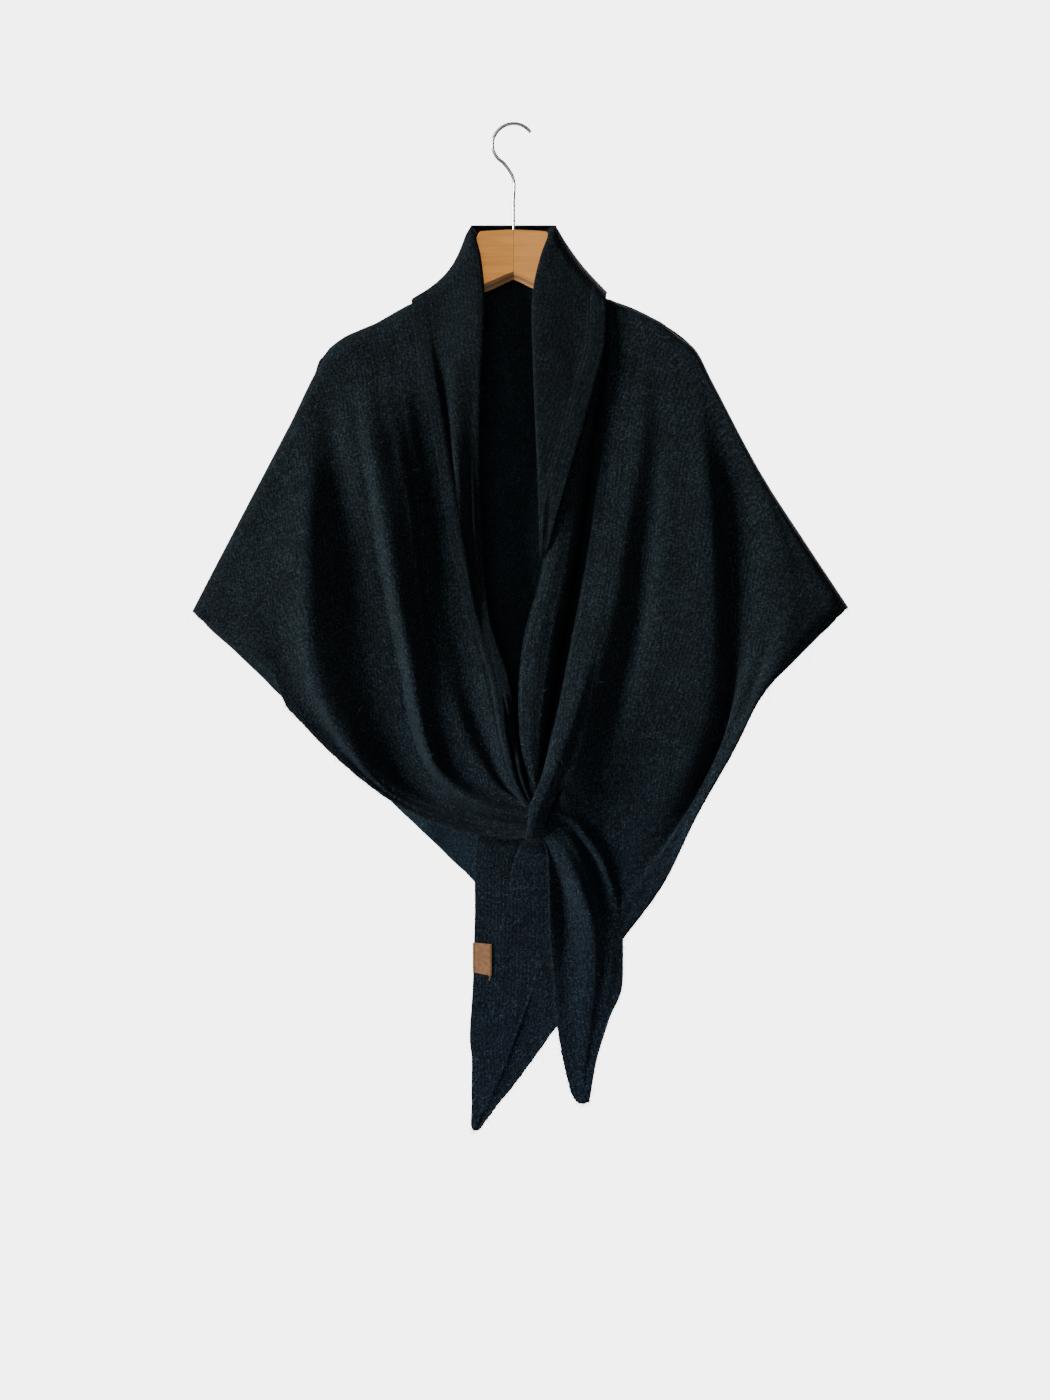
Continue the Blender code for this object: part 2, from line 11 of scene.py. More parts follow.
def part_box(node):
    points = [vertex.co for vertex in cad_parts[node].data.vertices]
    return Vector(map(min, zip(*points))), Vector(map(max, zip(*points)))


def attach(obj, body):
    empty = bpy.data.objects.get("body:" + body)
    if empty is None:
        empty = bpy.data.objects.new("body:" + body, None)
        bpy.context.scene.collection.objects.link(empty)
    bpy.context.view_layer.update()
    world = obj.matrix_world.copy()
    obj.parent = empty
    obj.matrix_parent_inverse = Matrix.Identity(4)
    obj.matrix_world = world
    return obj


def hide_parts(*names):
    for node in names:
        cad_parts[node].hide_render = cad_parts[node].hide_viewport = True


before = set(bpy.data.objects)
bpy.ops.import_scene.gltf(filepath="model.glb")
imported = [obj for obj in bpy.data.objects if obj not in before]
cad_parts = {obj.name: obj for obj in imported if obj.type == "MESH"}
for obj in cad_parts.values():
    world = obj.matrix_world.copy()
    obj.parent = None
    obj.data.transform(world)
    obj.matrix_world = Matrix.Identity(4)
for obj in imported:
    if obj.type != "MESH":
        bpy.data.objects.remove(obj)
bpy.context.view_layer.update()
random.seed(7)
print("frame loaded")

# Tables are in millimetres: x to the viewer's right from the hanger's middle, drop down from the hanger's
# top edge, lift toward the viewer. toWorld turns (x, depth, drop) into the frame's metres.
mm = 0.001
hangerTop = -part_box("hanger_arm_left")[1][2] / mm

view = {
    "middle": (11.8, 483.0),    # x and drop at the picture's middle
    "distance": 3030.0,
    "readDepth": -30.0,         # depth at which the tables' x and drop are to scale
    "lens": 74.9,
}

cloth = {
    "wall": 2.2,            # thickness of the knit
    "stack": 4.6,           # step between layers that lie on each other
    "frontPlane": -30.0,    # depth of the hanging fronts
    "backPlane": 9.0,       # depth of the hanging back
    "knotPlane": -47.0,     # depth of the gathered corner at the loop
    "shoulderTurn": 14.0,   # length over which cloth turns over the shoulder
    "collarTurn": 18.5,     # the same for the collar and lapels that lie over it
    "settle": 120.0,        # length over which cloth leaves the hanger for its own plane
    "liftRamp": 120.0,      # length over which folds grow below the shoulder
    "liftStart": 0.05,      # share of a fold's lift that is there at the shoulder
    "hangerHalf": 190.0,    # half of the hanger's width
    "hangerSweep": 14.0,    # how far the arm ends stand forward
    "hangerThick": 13.0,
    "hangerClear": 2.6,     # gap between wood and cloth
}


every = slice(None)     # all of a grid's rows or columns


def ease(value):
    value = np.clip(value, 0.0, 1.0)
    return value * value * (3.0 - 2.0 * value)


def toWorld(x, depth, drop):
    # what lies behind the fronts is seen smaller, so it is made that much larger about the line of sight
    near = (view["distance"] + depth) / (view["distance"] + view["readDepth"])
    middleX, middleDrop = view["middle"]
    return Vector(((middleX + (x - middleX) * near) * mm, depth * mm,
                   -(hangerTop + middleDrop + (drop - middleDrop) * near) * mm))


def curveThrough(path, perSpan):
    # smooth curve through the points of path, perSpan points from each to the next
    path = np.array(path, float)
    chord = np.sqrt(np.linalg.norm(np.diff(path[:, :2], axis=0), axis=1)) + 1e-6
    knots = np.concatenate([[0.0], np.cumsum(chord)])
    slope = np.gradient(path, knots, axis=0)
    s = np.linspace(0, 1, perSpan, endpoint=False)[:, None]
    pieces = []
    for i, width in enumerate(np.diff(knots)):
        pieces.append((2 * s**3 - 3 * s**2 + 1) * path[i] + (s**3 - 2 * s**2 + s) * width * slope[i]
                      + (3 * s**2 - 2 * s**3) * path[i + 1] + (s**3 - s**2) * width * slope[i + 1])
    return np.vstack(pieces + [path[-1:]])


def runAlong(points):
    # distance from the first of a row of points to each of them
    return np.concatenate([[0.0], np.cumsum(np.linalg.norm(np.diff(points, axis=0), axis=1))])


def alongCurve(path, steps, first=0, last=None):
    # points at shares of the curve's length between two of its own points, and their distance from first
    fine = 24
    dense = curveThrough(path, fine)[first * fine:None if last is None else last * fine + 1]
    length = runAlong(dense)
    run = np.array(steps) * length[-1]
    points = np.stack([np.interp(run, length, dense[:, k]) for k in range(dense.shape[1])], axis=1)
    return points, run


def crestSteps(count):
    # shares of a fold line: close together over the shoulder, then even
    start = list(np.linspace(0.0, 0.045, 12))
    return start + list(np.linspace(0.054, 1.0, count - len(start)))


def hangerDepth(x):
    share = np.clip(np.abs(x) / cloth["hangerHalf"], 0.0, 1.1)
    return -cloth["hangerSweep"] * share**1.6


def quarterTurn(run, length):
    return np.sqrt(1.0 - (1.0 - np.clip(run / length, 0, 1))**2)


def acrossLines(tracks, between):
    # fold lines, each a row of (x, drop, run, lift), to grids of the four with between columns from line
    # to line
    tracks = np.array(tracks)
    grid = np.stack([curveThrough(tracks[:, j], between) for j in range(tracks.shape[1])], axis=1)
    for i in range(len(tracks) - 1):
        for k in range(between):
            share = ease(k / between)
            grid[i * between + k, :, 3] = tracks[i, :, 3] * (1 - share) + tracks[i + 1, :, 3] * share
    return np.moveaxis(grid, 2, 0)


def liftsAlong(lifts, steps):
    # lifts given at even shares of a line, smoothly in between
    smooth = curveThrough([(i * 10.0, lift) for i, lift in enumerate(lifts)], 12)
    return np.interp(np.array(steps) * 10.0 * (len(lifts) - 1), smooth[:, 0], smooth[:, 1])


def liftsBelow(lifts, steps, run):
    # the same, growing from little at the shoulder
    return liftsAlong(lifts, steps) * ease(run / cloth["liftRamp"] + cloth["liftStart"])


def spread(piece, steps):
    tracks = []
    for lifts, path in piece["lines"].values():
        points, run = alongCurve(path, steps)
        tracks.append(np.column_stack([points, run, liftsBelow(lifts, steps, run)]))
    return acrossLines(tracks, piece["between"])


def flatDepth(x, run, side):
    # depth of cloth that leaves the hanger and settles into its own plane, side -1 front, 1 back
    start = hangerDepth(x) + side * (cloth["hangerThick"] / 2 + cloth["wall"] / 2 + cloth["hangerClear"])
    plane = cloth["frontPlane"] if side < 0 else cloth["backPlane"]
    return start + (plane - start) * ease(run / cloth["settle"])


def overCrest(x, depth, turn):
    # cloth that turns over the hanger's top edge, turn 0 there and 1 once it hangs
    crest = hangerDepth(x)
    return crest + (depth - crest) * turn


def hungDepth(x, run, turn, lift, side):
    # the same in its own plane and with its folds
    return overCrest(x, flatDepth(x, run, side), turn) - lift


def inScene(name, data):
    made = bpy.data.objects.new(name, data)
    bpy.context.collection.objects.link(made)
    return made


def meshFrom(name, bm):
    mesh = bpy.data.meshes.new(name)
    bm.to_mesh(mesh)
    bm.free()
    return mesh


def fixedPiece(name, mesh, finishes):
    # a piece of the one body from its finished mesh
    for finish in finishes:
        mesh.materials.append(finish)
    mesh.shade_smooth()
    made = inScene(name, mesh)
    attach(made, "root")
    return made


def cellGrid(across, down):
    # flat grid of across columns and down rows, with the column and row of each vertex
    bm = bmesh.new()
    bmesh.ops.create_grid(bm, x_segments=across - 1, y_segments=down - 1, size=0.5)
    return bm, {vert: (round((vert.co.x + 0.5) * (across - 1)), round((0.5 - vert.co.y) * (down - 1)))
                for vert in bm.verts}


def surfaceTree(points):
    across, down = points.shape[:2]
    verts = [Vector(p) for p in points.reshape(-1, 3)]
    faces = [(i * down + j, i * down + j + 1, (i + 1) * down + j + 1, (i + 1) * down + j)
             for i in range(across - 1) for j in range(down - 1)]
    return BVHTree.FromPolygons(verts, faces)


def depthAt(tree, x, drop):
    hit = tree.ray_cast(Vector((x, -300.0, drop)), Vector((0.0, 1.0, 0.0)))
    if hit[0] is not None:
        return hit[0].y
    return tree.find_nearest(Vector((x, cloth["frontPlane"], drop)))[0].y


def ribPlaces(points):
    # distance across the ribs and along them at each grid point, for the knit's UV map, in millimetres
    tangent = np.gradient(points, axis=1)
    tangent /= np.linalg.norm(tangent, axis=2, keepdims=True) + 1e-9
    step = np.diff(points, axis=0)
    middle = (tangent[1:] + tangent[:-1]) / 2
    square = step - (step * middle).sum(axis=2, keepdims=True) * middle
    across = np.concatenate([np.zeros((1, points.shape[1])),
                             np.cumsum(np.linalg.norm(square, axis=2), axis=0)])
    along = np.array([runAlong(column) for column in points])
    return across, along + points[:, :1, 2]


def wavy(points, amount, size, seed):
    # soft unevenness of hand-hung cloth: depth moves by amount, waves longer down than across
    moved = points.copy()
    for i, j in np.ndindex(points.shape[:2]):
        x, depth, drop = points[i, j]
        spot = Vector((x / size + seed, drop / (size * 3.2), seed * 1.7))
        moved[i, j, 1] += amount * noise.fractal(spot, 0.7, 2.0, 3)
    return moved


def ragged(points, ends, amount=0.9):
    # cut or frayed edges wander by amount: ends names the edges, "first" and "last" column or "tip" row
    moved = points.copy()
    rims = {"first": ((0, every), (3, every)), "last": ((-1, every), (-4, every)),
            "tip": ((every, -1), (every, -4))}
    for end in ends:
        rim, inner = rims[end]
        out = points[rim] - points[inner]
        out /= np.linalg.norm(out, axis=1, keepdims=True) + 1e-6
        for k in range(len(out)):
            place = Vector(points[rim][k] * [0.16, 0, 0.16])
            push = amount * (noise.noise(place) + 0.7 * noise.noise(place * 3.1))
            moved[rim][k] += out[k] * push
    return moved


def sheetPiece(name, points, outer, inner, thick=cloth["wall"], flip=False, slits=()):
    # a wall whose middle surface runs through a grid of (x, depth, drop), columns across and rows down,
    # open at the cells in slits
    ribs, courses = ribPlaces(points)
    bm, cell = cellGrid(*points.shape[:2])
    knitMap = bm.loops.layers.uv.new("knit")
    for vert, place in cell.items():
        vert.co = toWorld(*points[place])
        for loop in vert.link_loops:
            loop[knitMap].uv = (ribs[place] * mm, courses[place] * mm)
    opened = [face for face in bm.faces if min(cell[v] for v in face.verts) in slits]
    bmesh.ops.delete(bm, geom=opened, context="FACES")
    if flip:
        bmesh.ops.reverse_faces(bm, faces=bm.faces)
    made = fixedPiece(name, meshFrom(name, bm), (outer, inner))
    wall = made.modifiers.new("wall", "SOLIDIFY")
    wall.thickness = thick * mm
    wall.offset = 0.0
    wall.use_quality_normals = True
    wall.material_offset = 1
    return made


def setNode(tree, node, inputs, output=0):
    # links or sets the inputs of a node, or of a new one when its kind is named, and gives one output
    node = tree.nodes.new(node) if isinstance(node, str) else node
    for place, value in inputs.items():
        if isinstance(value, bpy.types.NodeSocket):
            tree.links.new(value, node.inputs[place])
        else:
            node.inputs[place].default_value = value
    return node.outputs[output]


def newMaterial(name, plain):
    # a material with one Principled shader whose plain values are given by socket
    made = bpy.data.materials.new(name)
    made.use_nodes = True
    tree = made.node_tree
    tree.nodes.clear()
    shader = tree.nodes.new("ShaderNodeBsdfPrincipled")
    output = tree.nodes.new("ShaderNodeOutputMaterial")
    tree.links.new(setNode(tree, shader, plain), output.inputs["Surface"])
    return made, tree, shader


def mathNode(tree, kind, *values):
    node = tree.nodes.new("ShaderNodeMath")
    node.operation = kind
    return setNode(tree, node, dict(enumerate(values)))


knitLooks = {
    "waleSize": 0.0026,     # width of a column of stitches
    "courseSize": 0.0020,   # height of a stitch
    "deep": (0.0004, 0.0008, 0.0014, 1),
    "bright": (0.0128, 0.0235, 0.0300, 1),
    "low": (0.0110, 0.0230, 0.0400, 1),     # the same yarn low down, where it reads bluer
    "lowFrom": (-0.5, -0.95),               # heights between which it turns so
    "ribbed": 0.12,                         # how much the columns show through the nap
    "borderWidth": 0.0165,
}


def noiseOf(tree, vector, scale, detail, rough=0.6, distortion=0.0):
    return setNode(tree, "ShaderNodeTexNoise", {"Vector": vector, "Scale": scale, "Detail": detail,
                                                "Roughness": rough, "Distortion": distortion}, "Fac")


def rangeOf(tree, value, low, high, toLow=0.0, toHigh=1.0):
    return setNode(tree, "ShaderNodeMapRange", {"Value": value, "From Min": low, "From Max": high,
                                                "To Min": toLow, "To Max": toHigh})


def blendOf(tree, factor, first, second):
    node = tree.nodes.new("ShaderNodeMix")
    node.data_type = "RGBA"
    node.clamp_factor = False
    return setNode(tree, node, {0: factor, 6: first, 7: second}, 2)


def bumpOf(tree, height, strength, distance):
    return setNode(tree, "ShaderNodeBump", {"Height": height, "Strength": strength, "Distance": distance})


def knitGroup():
    # brushed knit: stitches on the knit UV map under a felted nap, as a colour and a height
    group = bpy.data.node_groups.new("brushedKnit", "ShaderNodeTree")
    for name, value in (("Stitch", 0.3), ("Nap", 1.0), ("Border", 0.0), ("Bright", 1.0)):
        socket = group.interface.new_socket(name, in_out="INPUT", socket_type="NodeSocketFloat")
        socket.default_value = value
    group.interface.new_socket("Color", in_out="OUTPUT", socket_type="NodeSocketColor")
    group.interface.new_socket("Height", in_out="OUTPUT", socket_type="NodeSocketFloat")
    given = group.nodes.new("NodeGroupInput").outputs
    out = group.nodes.new("NodeGroupOutput")

    def calc(kind, *values):
        return mathNode(group, kind, *values)

    def times(first, second):
        return calc("MULTIPLY", first, second)

    uv = group.nodes.new("ShaderNodeUVMap")
    uv.uv_map = "knit"
    where = group.nodes.new("ShaderNodeTexCoord").outputs["Object"]
    split = group.nodes.new("ShaderNodeSeparateXYZ")
    setNode(group, split, {0: uv.outputs["UV"]})
    # uneven yarn shifts the stitches a little
    shift = calc("MULTIPLY_ADD", noiseOf(group, where, 170.0, 2.0), 1.6, -0.8)
    wale = calc("ADD", calc("DIVIDE", split.outputs["X"], knitLooks["waleSize"]), shift)
    course = calc("ADD", calc("DIVIDE", split.outputs["Y"], knitLooks["courseSize"]), shift)
    leg = times(calc("ABSOLUTE", calc("SUBTRACT", calc("FRACT", wale), 0.5)), 2.0)
    column = calc("SINE", times(leg, math.pi))
    slope = calc("MULTIPLY_ADD", leg, 0.6, course)
    loops = calc("MULTIPLY_ADD", calc("COSINE", times(slope, 2 * math.pi)), 0.5, 0.5)
    stitch = times(column, calc("MULTIPLY_ADD", loops, 0.75, 0.25))
    # felted nap: clumps of yarn, short hairs and long soft patches
    clumps = rangeOf(group, noiseOf(group, where, 430.0, 2.0, 0.8), 0.44, 0.57)
    hairs = rangeOf(group, noiseOf(group, where, 820.0, 2.0, 0.6, 1.5), 0.43, 0.58)
    grain = rangeOf(group, noiseOf(group, where, 1300.0, 1.0), 0.38, 0.62, 0.35, 1.65)
    patches = rangeOf(group, noiseOf(group, where, 42.0, 4.0, 0.65), 0.35, 0.68, 0.75, 1.2)
    nap = calc("ADD", times(clumps, 0.6), times(hairs, 0.4))
    rib = calc("COSINE", times(wale, 2 * math.pi / 1.5))
    nap = calc("MULTIPLY_ADD", rib, knitLooks["ribbed"], nap)
    napped = times(calc("POWER", calc("MAXIMUM", nap, 0.0), 1.7), given["Nap"])
    knitted = times(stitch, given["Stitch"])
    # the border along the long edge: a shallow groove where the band is linked on, with the colour darkened
    # along it as painted shade
    band = calc("ABSOLUTE", calc("SUBTRACT", split.outputs["X"], knitLooks["borderWidth"]))
    grooveWithPaintedShade = calc("SUBTRACT", 1.0, calc("MINIMUM", times(band, 800.0), 1.0))
    grooveWithPaintedShade = times(grooveWithPaintedShade, given["Border"])
    bright = times(times(calc("ADD", napped, knitted), patches), grain)
    # painted shade: the yarn's colour is darkened by up to half along the groove
    bright = times(bright, calc("SUBTRACT", 1.0, times(grooveWithPaintedShade, 0.5)))
    bright = times(bright, given["Bright"])
    height = calc("MULTIPLY_ADD", nap, 0.9, knitted)
    height = calc("MULTIPLY_ADD", grain, 0.2, height)
    height = calc("SUBTRACT", height, times(grooveWithPaintedShade, 0.9))
    low = rangeOf(group, setNode(group, "ShaderNodeSeparateXYZ", {0: where}, "Z"), *knitLooks["lowFrom"])
    tone = blendOf(group, low, knitLooks["bright"], knitLooks["low"])
    group.links.new(blendOf(group, bright, knitLooks["deep"], tone), out.inputs["Color"])
    group.links.new(height, out.inputs["Height"])
    return group


brushedKnit = knitGroup()


def knitMaterial(name, depth, sheen, **amounts):
    # amounts are the inputs of the brushed knit, depth the height of its relief
    made, tree, shader = newMaterial(name, {
        "Roughness": 0.95, "Specular IOR Level": 0.1, "Sheen Weight": sheen, "Sheen Roughness": 0.5,
        "Sheen Tint": (0.6, 0.85, 1.0, 1)})
    knit = tree.nodes.new("ShaderNodeGroup")
    knit.node_tree = brushedKnit
    setNode(tree, shader, {"Base Color": setNode(tree, knit, amounts, "Color"),
                           "Normal": bumpOf(tree, knit.outputs["Height"], 0.9, depth)})
    return made


knitOutside = knitMaterial("knitOutside", 0.0016, 0.02, Stitch=0.25, Nap=1.5, Border=0.0, Bright=1.0)
knitInside = knitMaterial("knitInside", 0.0014, 0.02, Stitch=1.1, Nap=0.6, Border=0.0, Bright=1.9)
knitLapel = knitMaterial("knitLapel", 0.0015, 0.012, Stitch=0.5, Nap=1.25, Border=1.0, Bright=0.8)
print("knit materials made")


leftHalf = {
    "rows": 200, "between": 10,
    "gatherFrom": 0.55, "gatherOver": 0.42,     # shares of its length where it comes forward to the knot
    # from the V to the hem: lifts at even shares from the shoulder to the knot, then the fold line's path
    "lines": {
        "vEdge": ((0, -1, -1, -3, -9, -13, -9, -3, -1, 0, 1), [(-48, 14), (-38, 61), (-42, 174), (-42, 277),
         (-32, 400), (-12, 464), (-5, 529), (13, 586), (24, 592)]),
        "underLapel": ((0, 0, 1, 2, 0, -5, -4, -1, 0, 1, 1), [(-57, 36), (-58, 100), (-60, 174), (-56, 277),
         (-44, 392), (-21, 464), (-9, 530), (12, 590), (24, 595)]),
        "lapelBase": ((0, -2, -9, -17, -20, -20, -18, -15, -10, -4, -1), [(-83, 65), (-84, 120), (-76, 190),
         (-64, 277), (-46, 385), (-26, 463), (-12, 531), (12, 593), (24, 597)]),
        "lapelTrough": ((0, -2, -10, -18, -22, -23, -22, -21, -19, -13, -5), [(-112, 79), (-100, 174),
         (-84, 269), (-70, 370), (-56, 440), (-42, 495), (-24, 541), (-8, 574), (24, 594)]),
        "smallRidge": ((0, -1, -5, -11, -15, -16, -15, -12, -7, -5, -2), [(-125, 88), (-114, 174),
         (-100, 269), (-90, 370), (-77, 440), (-60, 500), (-47, 530), (-32, 555), (-14, 575), (24, 597)]),
        "smallTrough": ((0, 1, 0, -2, -4, -5, -6, -7, -9, -7, -4), [(-142, 96), (-127, 200), (-112, 269),
         (-100, 365), (-88, 450), (-79, 518), (-65, 551), (-41, 571), (-16, 583), (24, 600)]),
        "mainRidge": ((2, 6, 8, 8, 8, 8, 8, 8, 8, 8, 8), [(-165, 106), (-149, 200), (-137, 269), (-122, 365),
         (-106, 450), (-95, 510), (-80, 553), (-52, 579), (-16, 595), (24, 604)]),
        "ridgeSide": ((0, 1, -1, -6, -9, -10, -11, -16, -20, -10, -2), [(-186, 120), (-166, 200), (-153, 269),
         (-137, 365), (-119, 450), (-105, 520), (-83, 563), (-52, 587), (-17, 601), (24, 608)]),
        "outerTrough": ((-1, -6, -11, -13, -14, -14, -14, -24, -30, -22, -8), [(-203, 146), (-188, 215),
         (-180, 277), (-166, 365), (-150, 450), (-138, 520), (-106, 572), (-62, 594), (-20, 607), (24, 612)]),
        "outerRidge": ((2, 9, 13, 15, 15, 13, 7, -10, -18, -16, -10), [(-232, 205), (-220, 260), (-214, 320),
         (-212, 380), (-207, 440), (-184, 502), (-128, 572), (-68, 600), (-20, 615), (24, 618)]),
        "hemInner": ((1, 2, -1, -4, -6, -5, -3, -5, -8, -8, -6), [(-300, 334), (-262, 400), (-234, 456),
         (-218, 486), (-188, 522), (-131, 579), (-76, 605), (-18, 621), (24, 622)]),
        "hem": ((0, 0, -1, -3, -2, 0, 2, 2, 1, -2, -3), [(-330, 392), (-302, 417), (-267, 440), (-249, 455),
         (-241, 472), (-234, 490), (-221, 504), (-189, 537), (-131, 584), (-78, 610), (-18, 625), (24, 627)]),
    },
}

rightHalf = {
    "rows": 170, "tailRows": 90, "between": 7,
    # lifts at even shares down the front and the same down the tail, then the path on the front and on
    # down the tail
    "lines": {
        "vEdge": ((0, 0, -2, 2, 0), (0, 0, 0), [(50, 17), (28, 61), (28, 136), (33, 262), (30, 345),
         (12, 413), (6, 462), (7, 524), (17, 571), (17, 592)], [(-8, 606), (-30, 615), (-38, 632), (-40, 706),
         (-42, 778), (-45, 832), (-42, 860), (-44, 920)]),
        "underLapel": ((0, 1, 3, 6, 0), (0, 0, 0), [(64, 36), (52, 80), (50, 136), (46, 230), (36, 345),
         (20, 413), (12, 462), (12, 524), (20, 571), (20, 593)], [(-4, 612), (-22, 628), (-32, 706),
         (-37, 778), (-41, 836), (-43, 921)]),
        "stripRidge": ((0, 1, 5, 8, 0), (0, 0, 0), [(78, 53), (70, 174), (54, 277), (42, 345), (28, 413),
         (19, 480), (17, 530), (22, 571), (22, 594)], [(0, 618), (-14, 636), (-24, 720), (-31, 790),
         (-38, 850), (-43, 922)]),
        "stripSide": ((0, 0, 3, 6, -1), (0, 0, 0), [(92, 69), (79, 174), (64, 277), (54, 345), (40, 413),
         (29, 493), (25, 549), (25, 575), (24, 595)], [(4, 624), (-8, 648), (-16, 730), (-26, 800),
         (-34, 860), (-43, 923)]),
        "stripTrough": ((-8, -24, -28, -26, -6), (0, 0, 0), [(101, 72), (90, 174), (75, 290), (63, 370),
         (49, 450), (36, 509), (30, 549), (28, 575), (26, 596)], [(8, 630), (-2, 658), (-9, 735), (-20, 806),
         (-31, 866), (-43, 924)]),
        "ridgeLeft": ((-2, -7, -3, 3, 0), (0, 0, 0), [(107, 75), (99, 174), (86, 290), (73, 370), (58, 450),
         (45, 509), (36, 549), (25, 574), (17, 595)], [(15, 618), (7, 638), (0, 656), (-3, 740), (-14, 812),
         (-28, 870), (-42, 925)]),
        "mainRidge": ((0, -2, 1, 7, 0), (0, 0, 0), [(125, 82), (118, 174), (108, 280), (98, 345), (86, 413),
         (66, 487), (50, 534), (36, 571), (24, 600)], [(20, 622), (16, 645), (11, 670), (5, 745), (-9, 816),
         (-26, 873), (-42, 925)]),
        "ridgeRight": ((0, 1, 2, 5, 0), (0, 0, 0), [(138, 88), (130, 215), (113, 317), (99, 401), (82, 460),
         (66, 510), (50, 556), (41, 580), (31, 602)], [(28, 622), (30, 645), (27, 672), (14, 750), (-4, 820),
         (-23, 876), (-41, 926)]),
        "trough": ((-1, -4, -10, -12, 0), (0, 0, 0), [(152, 95), (148, 215), (135, 317), (125, 401),
         (109, 470), (88, 535), (64, 602)], [(50, 640), (36, 690), (22, 760), (2, 824), (-20, 879),
         (-40, 926)]),
        "wideLeft": ((0, 0, 1, 0, 1), (0, 0, -1), [(168, 108), (172, 215), (164, 300), (154, 385), (138, 470),
         (116, 545), (82, 615), (62, 650)], [(53, 675), (33, 728), (25, 764), (3, 826), (-18, 880),
         (-39, 926)]),
        "wideRidge": ((0, 4, 5, 4, 4), (0, -2, -1), [(186, 122), (194, 217), (201, 280), (203, 380),
         (199, 470), (176, 550), (126, 622), (76, 668)], [(54, 704), (28, 768), (5, 827), (-16, 882),
         (-39, 926)]),
        "outerTrough": ((0, -7, -13, -14, -13, -12, -6, 4, 10), (0, -3, -1), [(204, 156), (216, 200),
         (222, 260), (224, 330), (226, 400), (226, 460), (217, 520), (186, 584), (138, 648), (88, 700)],
         [(65, 735), (36, 787), (12, 834), (-12, 885), (-38, 926)]),
        "outerRidge": ((0, 2, 4, 7, 13), (-2, -3, 0), [(254, 250), (278, 330), (260, 420), (232, 492),
         (196, 570), (148, 652), (92, 728)], [(73, 758), (41, 803), (18, 842), (-8, 887), (-37, 926)]),
        "hem": ((2, 14, 13, 12, 14), (-2, -3, 0), [(344, 388), (332, 400), (293, 436), (255, 481), (227, 535),
         (188, 604), (153, 675), (113, 729), (92, 757)], [(79, 777), (45, 819), (24, 848), (2, 878),
         (-22, 907), (-35, 926)]),
    },
    "tailPlane": [(0, -30), (0.4, -29), (1, -20)],
    # the loop: the main ridge is lifted over the knot between two slits
    "loopFrom": 5, "loopTo": 7,     # its first and last lines
    "loopLift": 27.0,
    "stripLift": 18.0,              # how far the strip along the V stands out above the knot
    "stripDrops": (420, 515, 576, 590),
    "loopCrown": 6.0,               # how far its middle stands out from its sides
    "loopDrops": (410, 575, 608, 644),
    "loopFade": 18.0, "stripFade": 8.0,     # columns over which each sinks back into the cloth beside it
    "slitDrops": (566, 586),        # where the lifted ridge parts from the cloth on its right
    "joinDrop": 622,                # where it joins the cloth on its left again
}

rightTail = {
    "rows": 140, "between": 12,
    # from its hem on the left to its long edge, out of the knot and down to the tip
    "lines": {
        "hem": ((-2, 0, 1, 0, 0), [(14, 624), (25, 626), (33, 634), (36, 671), (37, 720), (41, 765),
         (45, 820), (57, 880), (62, 893)]),
        "valley": ((-4, -11, -4, -1, 0), [(14, 620), (27, 622), (38, 643), (46, 672), (52, 716), (55, 792),
         (63, 864), (66, 897)]),
        "mainRidge": ((3, 10, 6, 2, 0), [(14, 612), (30, 614), (44, 627), (55, 646), (65, 668), (76, 697),
         (82, 725), (83, 765), (78, 815), (73, 862), (70, 899)]),
        "ridgeSide": ((-1, 1, 1, 0, 0), [(14, 608), (30, 609), (50, 620), (64, 641), (75, 667), (84, 695),
         (90, 725), (90, 765), (84, 815), (76, 862), (71, 899)]),
        "sideValley": ((-4, -16, 0, 0, 0), [(14, 603), (30, 603), (57, 613), (73, 636), (85, 663), (93, 692),
         (99, 725), (99, 765), (91, 813), (79, 860), (73, 899)]),
        "smallRidge": ((3, -4, -2, 0, 0), [(14, 598), (30, 597), (57, 605), (75, 625), (89, 645), (98, 668),
         (105, 695), (108, 725), (106, 768), (96, 813), (83, 858), (76, 898)]),
        "longEdge": ((0, -12, -3, 1, 0), [(14, 593), (30, 592), (50, 597), (75, 614), (95, 641), (105, 668),
         (111, 699), (113, 751), (111, 783), (99, 811), (86, 853), (78, 898)]),
    },
    "plane": [(0, -47), (0.35, -48), (0.7, -44), (1, -36)],
}


def leftHalfPoints():
    x, drop, run, lift = spread(leftHalf, crestSteps(leftHalf["rows"]))
    depth = hungDepth(x, run, quarterTurn(run, cloth["shoulderTurn"]), lift, -1)
    gathered = (np.linspace(0, 1, x.shape[1]) - leftHalf["gatherFrom"]) / leftHalf["gatherOver"]
    depth += ease(gathered)[None, :] * (cloth["knotPlane"] - cloth["frontPlane"])
    return np.stack([x, depth, drop], axis=-1)


def swell(drop, drops):
    # rises from 0 to 1 between the first two drops and falls back between the last two
    rise0, rise1, fall0, fall1 = drops
    return ease((drop - rise0) / (rise1 - rise0)) * (1 - ease((drop - fall0) / (fall1 - fall0)))


